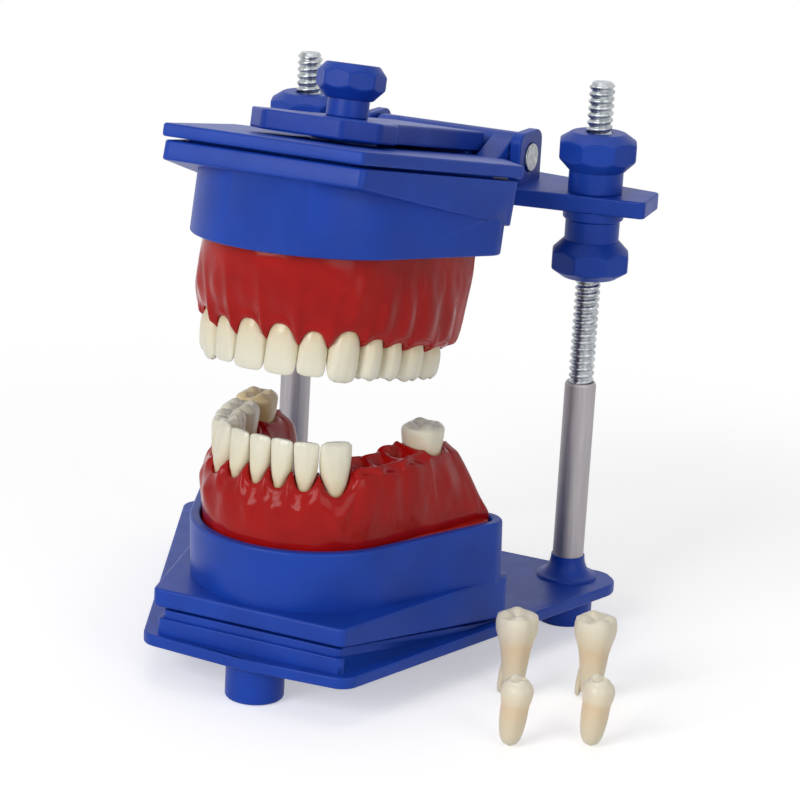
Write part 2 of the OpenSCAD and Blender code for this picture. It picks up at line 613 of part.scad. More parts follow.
// The space that a tooth needs in the gum
module socket_shape(t) {
    w = t[0] / 2 + socket_gap;
    d = t[1] / 2 + socket_gap;
    n = tooth_sides;
    hull() skin([section(-crown_sunk - root_len - socket_gap, w * 0.62, d * 0.62, 0, n),
        section(-crown_sunk, w * 0.86, d * 0.88, 0, n), section(0, w * 0.9, d * 0.97, -d * 0.04, n),
        section(2.6, w * 0.96, d * 1.06, -d * 0.04, n), section(4, w * 0.96, d * 1.06, -d * 0.04, n)],
            [0, 0, 4]);
}
module set_tooth(teeth, half, k, side) {
    p = arch_curve(half);
    run = running(p);
    s = tooth_at(teeth, k, side);
    q = along(p, run, s);
    translate([q[0], q[1], -teeth[k][2]]) rotate([0, 0, heading(p, run, s)])
        translate([0, contact_share * teeth[k][1], 0]) children();
}
module upper_jaw() upper_place() translate([0, -upper_arch_s, -bite_drop]) scale([1, 1, -1]) children();
module lower_jaw() translate([0, lower_arch_y, bite_z]) children();
module upper_tooth(k, side) color("#e1dec8") upper_jaw() set_tooth(upper_teeth, upper_arch_half, k, side)
    tooth_shape(upper_teeth[k]);
module lower_tooth(k, side) color("#e1dec8") lower_jaw() set_tooth(lower_teeth, lower_arch_half, k, side)
    tooth_shape(lower_teeth[k]);

// Distance from a point of the arch, outwards, to the rim's outline drawn in by inset;
// front is the distance of the arch's front behind the front of the tray
function wall_distance(q, dir, front, inset) =
    let (at = [abs(q[0]), q[1] + front], d = [q[0] < 0 ? -dir[0] : dir[0], dir[1]], m = at - rim_mid,
        b = m * d,
        round = -b + sqrt(max(0, b * b - m * m + (rim_r - inset) * (rim_r - inset))),
        flat = (rim_side - inset - at * rim_out) / max(d * rim_out, 0.1))
    at[1] + round * d[1] < (rim_mid + (rim_r - inset) * rim_out)[1] ? round : flat;
// Gum ridge over the arch: stations from one end to the other, each a closed cross-section.
// foot holds the heights of its foot at both ends of the tray, draw the narrowing of the foot towards
// the back
gum_step = 1.8;
gum_tail = 6.5;
module ridge(teeth, half, front, foot, tongue, mid, draw) {
    p = arch_curve(half);
    run = running(p);
    last = len(teeth) - 1;
    reach = width_before(teeth, last) + teeth[last][0] + gum_tail;
    count = 2 * floor(reach / gum_step);
    spots = [for (side = [-1, 1], k = [0:last]) [tooth_at(teeth, k, side), k]];
    rows = [for (i = [0:count]) let (s = -reach + 2 * reach * i / count, q = along(p, run, s),
        a = heading(p, run, s), dir = [sin(a), -cos(a)],
        near = [for (t = spots) if (abs(s - t[0]) <= teeth[t[1]][0] / 2 + tooth_gap + 0.4) t],
        t = len(near) > 0 ? near[0] : spots[s < 0 ? last : len(spots) - 1], shape = teeth[t[1]],
        off = min(1, abs(s - t[0]) / (shape[0] / 2)), end = max(0, abs(s) - reach + gum_tail) / gum_tail,
        fade = sqrt(max(0.04, 1 - end * end)), drop = (1 - fade) * 11, in = -2 * contact_share * shape[1] / 2,
        top = -shape[2] + 1.3 * off * off - 0.2, d = shape[1] / 2 * (0.4 + 0.6 * fade),
        foot_z = foot[0] + (foot[1] - foot[0]) * q[1] / arch_len,
        wall = wall_distance(q, dir, front, rim_wall + gum_gap) - 0.2 - draw * pow(abs(s) / reach, 3),
        swell = root_bulge * (1 - 2 * off * off))
        [for (c = [[wall, foot_z - 1], [wall * 0.97 + 0.1, foot_z + (top - foot_z) * 0.12],
            [wall * 0.5 + d * 0.5 + 0.5 + mid + swell, foot_z + (top - foot_z - drop) * 0.5],
            [in + d + 1.3 + swell * 0.8, top - 2.4 - drop], [in + d + 0.9, top - 0.7 - drop],
            [in + d * 0.86, top - drop], [in - d * 0.8, top - drop], [in - d - 1, top - 1.4 - drop],
            [in - d - 1.8, top - 4 - drop], [in - d - tongue, foot_z - 1]])
            [q[0] + dir[0] * c[0], q[1] + dir[1] * c[0], c[1]]]];
    n = len(rows[0]);
    m = len(rows);
    polyhedron([for (r = rows) each r], concat(
        [for (j = [0:m - 2], i = [0:n - 1]) [j * n + i, j * n + (i + 1) % n, (j + 1) * n + i]],
        [for (j = [0:m - 2], i = [0:n - 1]) [j * n + (i + 1) % n, (j + 1) * n + (i + 1) % n, (j + 1)
            * n + i]],
        [for (i = [1:n - 2]) [0, i + 1, i]], [for (i = [1:n - 2]) [(m - 1) * n, (m - 1) * n + i, (m - 1)
            * n + i + 1]]));
}
module sockets(teeth, half) for (side = [-1, 1], k = [0:len(teeth) - 1]) set_tooth(teeth, half, k, side)
    socket_shape(teeth[k]);
module lower_gum() color("#a51e1c") difference() {
    union() {
        lower_place() gum_block(lower_size, rim_lean, rim_h, rim_h);
        lower_jaw() ridge(lower_teeth, lower_arch_half, lower_arch_y + tray_front_y + rim_h * tan(rim_lean),
            [lower_rim_z - bite_z, lower_rim_z - bite_z], 4, 0.6, 2);
    }
    lower_place() rim_clearance(lower_size, rim_lean, rim_h, rim_h);
    lower_jaw() sockets(lower_teeth, lower_arch_half);
}
module upper_gum() color("#a51e1c") difference() {
    union() {
        upper_place() tray_place() gum_block(upper_size, -rim_lean, upper_rim_front, upper_rim_rear);
        upper_jaw() ridge(upper_teeth, upper_arch_half, tray_s - upper_arch_s + upper_lean, upper_edge,
            5, 0.8, 4.5);
    }
    upper_place() tray_place() rim_clearance(upper_size, -rim_lean, upper_rim_front, upper_rim_rear);
    upper_jaw() sockets(upper_teeth, upper_arch_half);
}

// ---- teeth lying loose beside the model, standing on their roots ----
module loose_root(x, y, r, h) hull() {
    translate([x * 1.25, y, 0]) cylinder(r = r * 0.42, h = 0.4, $fn = 12);
    translate([x, y, h]) cylinder(r = r, h = 1, $fn = 12);
}
module loose_tooth(w, d, crown_h, root_h, molar) {
    n = tooth_sides;
    top = root_h + crown_h;
    skin([section(root_h - 2, w * 0.74, d * 0.74, 0, n), section(root_h, w * 0.8, d * 0.82, 0, n),
        section(root_h + crown_h * 0.4, w * 0.98, d, 0, n), section(root_h + crown_h * 0.68, w, d * 0.96,
            0, n),
        section(root_h + crown_h * 0.88, w * 0.93, d * 0.86, 0, n), chewing(w, d, top, molar ? 4 : 3,
            0.76, n),
        chewing(w, d, top - 0.7, molar ? 4 : 3, 0.4, n)], [0, 0, top - 2]);
    if (molar) for (s = [-1, 1]) loose_root(s * w * 0.46, 0, d * 0.46, root_h - 1.4);
    else loose_root(0, 0, d * 0.62, root_h - 1.4);
}
module loose_place(dx, y, turn) color("#decdaf") translate([loose_x + dx, y, 0]) rotate([0, 0, turn])
    children();
module loose_molar_1() loose_place(5.8, 34.5, 70) loose_tooth(4.9, 4.6, 7.6, 14.2, true);
module loose_molar_2() loose_place(5 + loose_pitch, 43.1, 80) loose_tooth(4.9, 4.6, 7.6, 14.2, true);
module loose_premolar_1() loose_place(18.4, 5.9, 60) loose_tooth(3.9, 4.3, 7, 10.6, false);
module loose_premolar_2() loose_place(16.7 + loose_pitch, 16.4, 60) loose_tooth(3.9, 4.3, 7, 10.6, false);

base_plate();
front_foot();
rear_foot_left();
rear_foot_right();
sleeve_left();
sleeve_right();
rod_left();
rod_right();
lower_tray();
lower_clamp_knob();
bridge();
hinge_pin();
nut_upper_left();
nut_upper_right();
nut_lower_left();
nut_lower_right();
upper_frame();
clamp_bar();
clamp_knob();
upper_tray();
lower_gum();
upper_gum();
loose_molar_1();
loose_molar_2();
loose_premolar_1();
loose_premolar_2();
upper_tooth(0, -1);  // upper_tooth_r1
upper_tooth(1, -1);  // upper_tooth_r2
upper_tooth(2, -1);  // upper_tooth_r3
upper_tooth(3, -1);  // upper_tooth_r4
upper_tooth(4, -1);  // upper_tooth_r5
upper_tooth(5, -1);  // upper_tooth_r6
upper_tooth(6, -1);  // upper_tooth_r7
upper_tooth(0, 1);  // upper_tooth_l1
upper_tooth(1, 1);  // upper_tooth_l2
upper_tooth(2, 1);  // upper_tooth_l3
upper_tooth(3, 1);  // upper_tooth_l4
upper_tooth(4, 1);  // upper_tooth_l5
upper_tooth(5, 1);  // upper_tooth_l6
upper_tooth(6, 1);  // upper_tooth_l7
lower_tooth(0, -1);  // lower_tooth_r1
lower_tooth(1, -1);  // lower_tooth_r2
lower_tooth(2, -1);  // lower_tooth_r3
lower_tooth(3, -1);  // lower_tooth_r4
lower_tooth(4, -1);  // lower_tooth_r5
lower_tooth(5, -1);  // lower_tooth_r6
lower_tooth(6, -1);  // lower_tooth_r7
lower_tooth(0, 1);  // lower_tooth_l1
lower_tooth(1, 1);  // lower_tooth_l2
lower_tooth(2, 1);  // lower_tooth_l3
lower_tooth(6, 1);  // lower_tooth_l7
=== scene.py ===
import bpy, bmesh, bisect, json, math
import numpy as np
from mathutils import Matrix, Vector


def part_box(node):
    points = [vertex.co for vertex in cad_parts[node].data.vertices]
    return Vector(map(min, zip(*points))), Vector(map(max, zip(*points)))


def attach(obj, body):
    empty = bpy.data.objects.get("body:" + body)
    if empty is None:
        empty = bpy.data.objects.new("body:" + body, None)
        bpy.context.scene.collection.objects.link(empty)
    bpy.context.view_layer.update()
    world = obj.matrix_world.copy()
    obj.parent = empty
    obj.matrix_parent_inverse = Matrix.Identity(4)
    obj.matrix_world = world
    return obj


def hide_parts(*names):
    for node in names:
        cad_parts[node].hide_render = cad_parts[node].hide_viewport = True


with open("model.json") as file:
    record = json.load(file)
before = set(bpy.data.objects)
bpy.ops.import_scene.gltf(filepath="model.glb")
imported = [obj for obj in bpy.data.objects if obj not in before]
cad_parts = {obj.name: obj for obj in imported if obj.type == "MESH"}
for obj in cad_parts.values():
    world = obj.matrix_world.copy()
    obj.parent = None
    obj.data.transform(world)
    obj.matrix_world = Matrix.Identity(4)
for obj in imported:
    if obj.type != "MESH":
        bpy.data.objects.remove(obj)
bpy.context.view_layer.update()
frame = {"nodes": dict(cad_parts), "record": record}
nodes = frame["nodes"]
record = frame["record"]
bodyOf = {name: body for body, names in record["behaviour"]["bodies"].items() for name in names}
perMetre = 1000  # the sizes of pieces and patterns below are in millimetres, the scene is in metres
print("frame loaded:", len(nodes), "nodes")


def linear(hexColour):  # sRGB hex to the linear colour that shaders take
    parts = [int(hexColour[i:i + 2], 16) / 255 for i in (1, 3, 5)]
    return tuple(c / 12.92 if c <= 0.04045 else ((c + 0.055) / 1.055) ** 2.4 for c in parts) + (1.0,)


def addNode(tree, kind, links=(), stops=(), **settings):
    # one shader node with its settings; links are (socket, source) pairs, stops a ramp's (place, colour)
    node = tree.nodes.new("ShaderNode" + kind)
    for name, value in settings.items():
        if name.startswith("in_"):
            node.inputs[name[3:].replace("_", " ")].default_value = value
        else:
            setattr(node, name, value)
    for _ in stops[2:]:  # a new ramp has two stops already
        node.color_ramp.elements.new(0.5)
    for i, (place, colour) in enumerate(stops):
        node.color_ramp.elements[i].position = place
        node.color_ramp.elements[i].color = linear(colour)
    for socket, source in links:
        tree.links.new(source, node.inputs[socket])
    return node


def newMaterial(name):  # an empty material, its node tree and the coordinates that its patterns read
    material = bpy.data.materials.new(name)
    material.use_nodes = True
    tree = material.node_tree
    tree.nodes.clear()
    return material, tree, addNode(tree, "TexCoord").outputs["Object"]


# camera, floor and lights, in metres, degrees and watts; lens and sensor in millimetres
view = dict(azimuth=25.33, elevation=15.67, roll=3.24, target=(0, 0.07148, 0.05658), distance=0.71967,
            lens=127.55, sensor=36)
lamps = dict(  # place, aim, size, power
    key=((-0.25, -1.0, 0.55), (0, 0.04, 0.08), 0.6, 6.6),
    fill=((0.95, -0.55, 0.4), (0, 0.04, 0.08), 0.6, 2.2),
    top=((-0.1, 0.25, 1.2), (0, 0.05, 0.07), 0.8, 2.4))
stage = dict(world=0.27, card="#f6f6f6", floorGlow=0.44, centre=(0, 0.04, 0), nearRadius=0.15, farRadius=0.32,
             size=6, drop=0.0001)


def placeCamera():
    azimuth, elevation, roll = (math.radians(view[k]) for k in ("azimuth", "elevation", "roll"))
    level = math.cos(elevation)
    back = Vector((math.sin(azimuth) * level, -math.cos(azimuth) * level, math.sin(elevation)))
    side = Vector((math.cos(azimuth), math.sin(azimuth), 0))
    up = back.cross(side)
    right = math.cos(roll) * side + math.sin(roll) * up
    top = -math.sin(roll) * side + math.cos(roll) * up
    place = Vector(view["target"]) + back * view["distance"]
    data = bpy.data.cameras.new("frontCamera")
    data.lens, data.sensor_width, data.clip_start = view["lens"], view["sensor"], 0.01
    camera = bpy.data.objects.new("frontCamera", data)
    camera.matrix_world = Matrix((
        (right.x, top.x, back.x, place.x), (right.y, top.y, back.y, place.y),
        (right.z, top.z, back.z, place.z), (0, 0, 0, 1)))
    bpy.context.collection.objects.link(camera)
    bpy.context.scene.camera = camera


def areaLight(name, place, aim, size, power):
    data = bpy.data.lights.new(name, "AREA")
    data.shape, data.size, data.energy = "SQUARE", size, power
    lamp = bpy.data.objects.new(name, data)
    lamp.location = place
    lamp.rotation_euler = (Vector(aim) - Vector(place)).to_track_quat("-Z", "Y").to_euler()
    bpy.context.collection.objects.link(lamp)


def seenWhite(tree):  # 1 on camera, mirror and glass rays, 0 on the rays that light the object
    rays = addNode(tree, "LightPath").outputs
    both = addNode(tree, "Math", [(0, rays["Is Camera Ray"]), (1, rays["Is Glossy Ray"])],
                   operation="MAXIMUM")
    return addNode(tree, "Math", [(0, both.outputs[0]), (1, rays["Is Transmission Ray"])],
                   operation="MAXIMUM").outputs[0]


def paleFloor():
    # matt white card: shows the shadow near the object and fades to plain white further out
    material, tree, coords = newMaterial("matteWhiteCard")
    card = addNode(tree, "BsdfDiffuse", in_Color=linear(stage["card"]))
    glow = addNode(tree, "Emission", in_Color=(1, 1, 1, 1), in_Strength=stage["floorGlow"])
    white = addNode(tree, "Emission", in_Color=(1, 1, 1, 1), in_Strength=1.0)
    centre = addNode(tree, "VectorMath", [(0, coords)], operation="DISTANCE")
    centre.inputs[1].default_value = stage["centre"]
    far = addNode(tree, "MapRange", [("Value", centre.outputs["Value"])],
                  interpolation_type="SMOOTHSTEP", in_From_Min=stage["nearRadius"],
                  in_From_Max=stage["farRadius"])
    seen = seenWhite(tree)
    lit = addNode(tree, "AddShader", [(0, card.outputs[0]), (1, glow.outputs[0])])
    nearby = addNode(tree, "MixShader", [("Fac", seen), (1, card.outputs[0]), (2, lit.outputs[0])])
    farSeen = addNode(tree, "Math", [(0, seen), (1, far.outputs[0])], operation="MULTIPLY")
    whole = addNode(tree, "MixShader",
                    [("Fac", farSeen.outputs[0]), (1, nearby.outputs[0]), (2, white.outputs[0])])
    addNode(tree, "OutputMaterial", [("Surface", whole.outputs[0])])
    return material


def buildStage():
    placeCamera()
    bpy.ops.mesh.primitive_plane_add(size=stage["size"], location=(0, 0, -stage["drop"]))
    floor = bpy.context.active_object
    floor.name = "studioFloor"
    floor.data.materials.append(paleFloor())
    world = bpy.data.worlds.new("studioWorld")
    world.use_nodes = True
    tree = world.node_tree
    back = tree.nodes["Background"]
    back.inputs["Color"].default_value = (1, 1, 1, 1)
    strength = addNode(tree, "MapRange", [("Value", seenWhite(tree))],
                       in_To_Min=stage["world"], in_To_Max=1.0)
    tree.links.new(strength.outputs[0], back.inputs["Strength"])
    bpy.context.scene.world = world
    for name, (place, aim, size, power) in lamps.items():
        areaLight(name + "Light", place, aim, size, power)
    bpy.context.scene.view_settings.view_transform = "Standard"
    print("stage ready")


bpy.ops.object.select_all(action="DESELECT")
buildStage()


# materials: each pattern's scale is perMetre / (its size in millimetres)
def mouldedBlue():
    # ABS moulded in a polished tool: satin gloss, faint flow mottling, shallow sink ripples
    material, tree, coords = newMaterial("mouldedBlueAbs")
    mottle = addNode(tree, "TexNoise", [("Vector", coords)], in_Scale=perMetre / 14, in_Detail=3)
    colour = addNode(tree, "ValToRGB", [("Fac", mottle.outputs["Fac"])],
                     [(0.35, "#143d9f"), (0.65, "#1744ad")])
    haze = addNode(tree, "TexNoise", [("Vector", coords)], in_Scale=perMetre / 5, in_Detail=4)
    gloss = addNode(tree, "MapRange", [("Value", haze.outputs["Fac"])], in_To_Min=0.34, in_To_Max=0.46)
    ripple = addNode(tree, "TexNoise", [("Vector", coords)], in_Scale=perMetre / 6, in_Detail=2)
    relief = addNode(tree, "Bump", [("Height", ripple.outputs["Fac"])],
                     in_Strength=0.35, in_Distance=0.05 / perMetre)
    shader = addNode(tree, "BsdfPrincipled",
                     [("Base Color", colour.outputs["Color"]), ("Roughness", gloss.outputs[0]),
                      ("Normal", relief.outputs["Normal"])], in_IOR=1.5, in_Specular_IOR_Level=0.24)
    addNode(tree, "OutputMaterial", [("Surface", shader.outputs[0])])
    return material


def castGum():
    # heat-cured pink-red acrylic, hand polished: deep wet gloss, slight marbling
    material, tree, coords = newMaterial("polishedGumAcrylic")
    marble = addNode(tree, "TexNoise", [("Vector", coords)], in_Scale=perMetre / 9, in_Detail=3)
    colour = addNode(tree, "ValToRGB", [("Fac", marble.outputs["Fac"])],
                     [(0.3, "#9c0d0a"), (0.55, "#a8110d"), (0.75, "#b21913")])
    haze = addNode(tree, "TexNoise", [("Vector", coords)], in_Scale=perMetre / 4, in_Detail=3)
    gloss = addNode(tree, "MapRange", [("Value", haze.outputs["Fac"])], in_To_Min=0.12, in_To_Max=0.2)
    dimple = addNode(tree, "TexNoise", [("Vector", coords)], in_Scale=perMetre / 3.5, in_Detail=2)
    relief = addNode(tree, "Bump", [("Height", dimple.outputs["Fac"])],
                     in_Strength=0.3, in_Distance=0.1 / perMetre)
    shader = addNode(tree, "BsdfPrincipled",
                     [("Base Color", colour.outputs["Color"]), ("Roughness", gloss.outputs[0]),
                      ("Normal", relief.outputs["Normal"])], in_IOR=1.49, in_Specular_IOR_Level=0.17,
                     in_Subsurface_Weight=0.12, in_Subsurface_Radius=(1.0, 0.2, 0.1),
                     in_Subsurface_Scale=1.2 / perMetre)
    addNode(tree, "OutputMaterial", [("Surface", shader.outputs[0])])
    return material


def crownResin(name, stops):
    # layered composite resin, pressed and polished: creamy body, greyer edge, warmer neck
    material, tree, coords = newMaterial(name)
    rootward = addNode(tree, "Attribute", attribute_name="rootward")
    cloud = addNode(tree, "TexNoise", [("Vector", coords)], in_Scale=perMetre / 3, in_Detail=2)
    blur = addNode(tree, "MapRange", [("Value", cloud.outputs["Fac"])], in_To_Min=-0.12, in_To_Max=0.12)
    layer = addNode(tree, "Math", [(0, rootward.outputs["Fac"]), (1, blur.outputs[0])], operation="ADD")
    colour = addNode(tree, "ValToRGB", [("Fac", layer.outputs[0])], stops)
    haze = addNode(tree, "TexNoise", [("Vector", coords)], in_Scale=perMetre / 1.5, in_Detail=2)
    gloss = addNode(tree, "MapRange", [("Value", haze.outputs["Fac"])], in_To_Min=0.16, in_To_Max=0.28)
    grain = addNode(tree, "TexNoise", [("Vector", coords)], in_Scale=perMetre / 0.9, in_Detail=2)
    relief = addNode(tree, "Bump", [("Height", grain.outputs["Fac"])],
                     in_Strength=0.5, in_Distance=0.02 / perMetre)
    shader = addNode(tree, "BsdfPrincipled",
                     [("Base Color", colour.outputs["Color"]), ("Roughness", gloss.outputs[0]),
                      ("Normal", relief.outputs["Normal"])], in_IOR=1.52, in_Specular_IOR_Level=0.4,
                     in_Subsurface_Weight=0.1, in_Subsurface_Radius=(1.0, 0.8, 0.5),
                     in_Subsurface_Scale=0.6 / perMetre)
    addNode(tree, "OutputMaterial", [("Surface", shader.outputs[0])])
    return material


def looseResin():
    # resin tooth cast with its root: ivory crown, tan neck, cream root with faint lengthwise streaks
    material, tree, coords = newMaterial("castRootResin")
    rootward = addNode(tree, "Attribute", attribute_name="rootward")
    cloud = addNode(tree, "TexNoise", [("Vector", coords)], in_Scale=perMetre / 2.5, in_Detail=3)
    blur = addNode(tree, "MapRange", [("Value", cloud.outputs["Fac"])], in_To_Min=-0.07, in_To_Max=0.07)
    layer = addNode(tree, "Math", [(0, rootward.outputs["Fac"]), (1, blur.outputs[0])], operation="ADD")
    colour = addNode(tree, "ValToRGB", [("Fac", layer.outputs[0])],
                     [(0.0, "#f0e8d2"), (0.26, "#eee0c2"), (0.38, "#ead1ac"), (0.5, "#e8d2b0"),
                      (0.64, "#e6d6b6"), (1.0, "#e2d8bf")])
    upright = addNode(tree, "Mapping", [("Vector", coords)], in_Scale=(1, 1, 0.35))
    growth = addNode(tree, "TexNoise", [("Vector", upright.outputs[0])],
                     in_Scale=perMetre / 1.2, in_Detail=3)
    relief = addNode(tree, "Bump", [("Height", growth.outputs["Fac"])],
                     in_Strength=0.7, in_Distance=0.08 / perMetre)
    shader = addNode(tree, "BsdfPrincipled",
                     [("Base Color", colour.outputs["Color"]), ("Normal", relief.outputs["Normal"])],
                     in_Roughness=0.34, in_IOR=1.52)
    addNode(tree, "OutputMaterial", [("Surface", shader.outputs[0])])
    return material


def zincSteel():
    # rolled steel thread, bright zinc plated: lively grey gloss with duller patches, and a coarse grain
    material, tree, coords = newMaterial("zincPlatedThread")
    patches = addNode(tree, "TexNoise", [("Vector", coords)], in_Scale=perMetre / 1.1, in_Detail=4)
    colour = addNode(tree, "ValToRGB", [("Fac", patches.outputs["Fac"])],
                     [(0.3, "#8f9498"), (0.6, "#c3c7ca")])
    gloss = addNode(tree, "MapRange", [("Value", patches.outputs["Fac"])], in_To_Min=0.2, in_To_Max=0.42)
    grain = addNode(tree, "TexNoise", [("Vector", coords)], in_Scale=perMetre / 0.5, in_Detail=2)
    relief = addNode(tree, "Bump", [("Height", grain.outputs["Fac"])],
                     in_Strength=0.5, in_Distance=0.03 / perMetre)
    shader = addNode(tree, "BsdfPrincipled",
                     [("Base Color", colour.outputs["Color"]), ("Roughness", gloss.outputs[0]),
                      ("Normal", relief.outputs["Normal"])], in_Metallic=1.0)
    addNode(tree, "OutputMaterial", [("Surface", shader.outputs[0])])
    return material


def drawnTube():
    # drawn aluminium tube, unpolished: matt grey; its lengthwise marks are drawn coarser than life to show
    material, tree, coords = newMaterial("drawnAluminiumTube")
    upright = addNode(tree, "Mapping", [("Vector", coords)], in_Scale=(1, 1, 0.03))
    marks = addNode(tree, "TexNoise", [("Vector", upright.outputs[0])],
                    in_Scale=perMetre / 0.45, in_Detail=3)
    colour = addNode(tree, "ValToRGB", [("Fac", marks.outputs["Fac"])],
                     [(0.3, "#a29ea1"), (0.7, "#b3aeb1")])
    gloss = addNode(tree, "MapRange", [("Value", marks.outputs["Fac"])], in_To_Min=0.46, in_To_Max=0.6)
    relief = addNode(tree, "Bump", [("Height", marks.outputs["Fac"])],
                     in_Strength=0.5, in_Distance=0.03 / perMetre)
    shader = addNode(tree, "BsdfPrincipled",
                     [("Base Color", colour.outputs["Color"]), ("Roughness", gloss.outputs[0]),
                      ("Normal", relief.outputs["Normal"])], in_Metallic=1.0)
    addNode(tree, "OutputMaterial", [("Surface", shader.outputs[0])])
    return material


def groundSteel():
    # ground steel pin: even grey gloss, slightly blotchy from handling
    material, tree, coords = newMaterial("groundSteelPin")
    blotch = addNode(tree, "TexNoise", [("Vector", coords)], in_Scale=perMetre / 1.2, in_Detail=3)
    colour = addNode(tree, "ValToRGB", [("Fac", blotch.outputs["Fac"])],
                     [(0.3, "#8d9094"), (0.7, "#b4b7ba")])
    grain = addNode(tree, "TexNoise", [("Vector", coords)], in_Scale=perMetre / 0.6, in_Detail=2)
    relief = addNode(tree, "Bump", [("Height", grain.outputs["Fac"])],
                     in_Strength=0.4, in_Distance=0.02 / perMetre)
    shader = addNode(tree, "BsdfPrincipled",
                     [("Base Color", colour.outputs["Color"]), ("Normal", relief.outputs["Normal"])],
                     in_Metallic=1.0, in_Roughness=0.33)
    addNode(tree, "OutputMaterial", [("Surface", shader.outputs[0])])
    return material


blueAbs, gumAcrylic, rootedResin = mouldedBlue(), castGum(), looseResin()
toothResin = crownResin("pressedToothResin", [(0.0, "#e4e1cf"), (0.25, "#e9e4cf"), (0.7, "#e6dcc0"),
                                              (1.0, "#d9c8a0")])
# painted shade: a darker, browner copy of the tooth resin for the far molar, which lies in shade
shadeDarkenedResin = crownResin("paintedShadeToothResin", [(0.0, "#e0cc9e"), (0.25, "#dfcb9b"), (0.7, "#d9c28e"),
                                             (1.0, "#c9ae74")])
threadSteel, tubeMetal, pinSteel = zincSteel(), drawnTube(), groundSteel()
print("materials ready")


# moulded blue parts, sleeves and pin: copies of the exact parts with their outer edges worn round
bevelSet = dict(
    segments=3,
    crease=12,  # degrees between two faces from which an edge takes part in the test of room
    outer=28,  # degrees from which an edge that stands out is rounded
    corner=(25, 100),  # degrees between which an upright edge gets the corner's own width
    upright=0.97,  # cosine of the lean up to which an edge is upright
    facing=-0.3,  # cosine under which two edges of a face lie across from each other
    sharedRoom=0.42,  # share of the gap that a rounding takes beside another one
    plainRoom=0.8,  # share beside an edge that stays as it is
    touching=0.001,  # edges closer than this meet each other
    least=0.04,  # a rounding smaller than this is left out
    spots=(0.0, 0.25, 0.5, 0.75, 1.0),  # places along an edge where the room is tried
    weld=0.001,  # points closer than this are merged
    flat=0.4,  # degrees between two faces under which they become one
    smooth=32, flatWeight=90)
hingeSet = dict(y=91.8, z=119.2, open=9.9)  # the jaw hinge, and how far the upper frame stands open at rest
leant = (0, math.sin(math.radians(hingeSet["open"])), math.cos(math.radians(hingeSet["open"])))
edgeWidths = dict(  # rounding of the outer edges and of the upright corners
    base_plate=(0.5, 0.5), lower_tray=(0.7, 0.7), upper_tray=(0.5, 0.5), upper_frame=(0.7, 0.7),
    clamp_bar=(0.6, 1.4), bridge=(0.5, 0.5), front_foot=(0.8, 0.8), rear_foot_left=(0.8, 0.8),
    rear_foot_right=(0.8, 0.8), clamp_knob=(0.4, 0.4), lower_clamp_knob=(0.4, 0.4), nut_upper_left=(0.4, 0.4),
    nut_upper_right=(0.4, 0.4), nut_lower_left=(0.4, 0.4), nut_lower_right=(0.4, 0.4))
keptSharp = dict(  # places too narrow for a rounding: lowest and highest |x|, y and z
    base_plate=((30, 50, 95, 101, 0, 40), (30, 50, 85, 101, 0, 40), (20, 40, 10, 55, 13, 40)),
    lower_tray=((34, 45, 28, 60, 20, 28),), upper_tray=((0, 60, 45, 70, 105, 125),))
plainShading = ("upper_tray",)  # weighted normals put a dark panel on its low rim


def wakeUp(piece):  # selected alone and active, ready for an operator
    bpy.ops.object.select_all(action="DESELECT")
    piece.select_set(True)
    bpy.context.view_layer.objects.active = piece


def finishPiece(piece, node, material):  # everything that each piece needs once its shape is made
    piece.data.materials.clear()
    piece.data.materials.append(material)
    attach(piece, bodyOf[node])
    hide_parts(node)


def inBox(spot, box):
    return all(low <= c <= high for c, low, high in zip(spot, box[::2], box[1::2]))


def outerEdges(edges, width, corner, up, spared):  # the edges that stand out, and the rounding wanted on each
    wanted = {}
    cornerFrom, cornerTo = (math.radians(angle) for angle in bevelSet["corner"])
    for edge in edges:
        middle = (edge.verts[0].co + edge.verts[1].co) * (perMetre / 2)
        angle = edge.calc_face_angle()
        if any(inBox((abs(middle.x), middle.y, middle.z), box) for box in spared):
            continue
        if edge.is_convex and angle > math.radians(bevelSet["outer"]):
            line = (edge.verts[1].co - edge.verts[0].co).normalized()
            isCorner = abs(line.dot(up)) > bevelSet["upright"] and cornerFrom < angle < cornerTo
            wanted[edge] = corner if isCorner else width
    return wanted


def fitToRoom(mesh, edges, wanted):  # the same widths, less where another edge of the same face is close
    room = dict(wanted)
    creases = set(edges)
    tiny = 1e-14  # keeps an edge without length out of the divisions
    for face in mesh.faces:
        rows = [(loop.edge, loop.vert.co, loop.link_loop_next.vert.co) for loop in face.loops
                if loop.edge in creases]
        if not any(row[0] in wanted for row in rows):
            continue
        start, end = np.array([row[1] for row in rows]), np.array([row[2] for row in rows])
        inward = np.cross(np.array(face.normal), end - start)
        inward /= np.maximum(np.linalg.norm(inward, axis=1), tiny)[:, None]
        share = np.array([bevelSet["sharedRoom" if row[0] in wanted else "plainRoom"] for row in rows])
        span = np.maximum(((end - start) ** 2).sum(1), tiny)
        for (edge, a, b), side in zip(rows, inward):
            if edge not in wanted:
                continue
            for portion in bevelSet["spots"]:
                spot = np.array(a) * (1 - portion) + np.array(b) * portion
                k = np.clip(((spot - start) * (end - start)).sum(1) / span, 0, 1)
                gap = np.linalg.norm(start + (end - start) * k[:, None] - spot, axis=1) * share
                gap = gap[(inward @ side < bevelSet["facing"]) & (gap > bevelSet["touching"] / perMetre)]
                if len(gap):
                    room[edge] = min(room[edge], float(gap.min()))
    return room


def markOuterEdges(mesh, width, corner, up, spared):  # bevel weights, as shares of the wider of the two
    weight = mesh.edges.layers.float.new("bevel_weight_edge")
    crease = math.radians(bevelSet["crease"])
    edges = [e for e in mesh.edges if len(e.link_faces) == 2 and e.calc_face_angle() > crease]
    wanted = outerEdges(edges, width, corner, up, spared)
    for edge, amount in fitToRoom(mesh, edges, wanted).items():
        roomy = amount > bevelSet["least"] / perMetre
        edge[weight] = min(1, amount / max(width, corner)) if roomy else 0


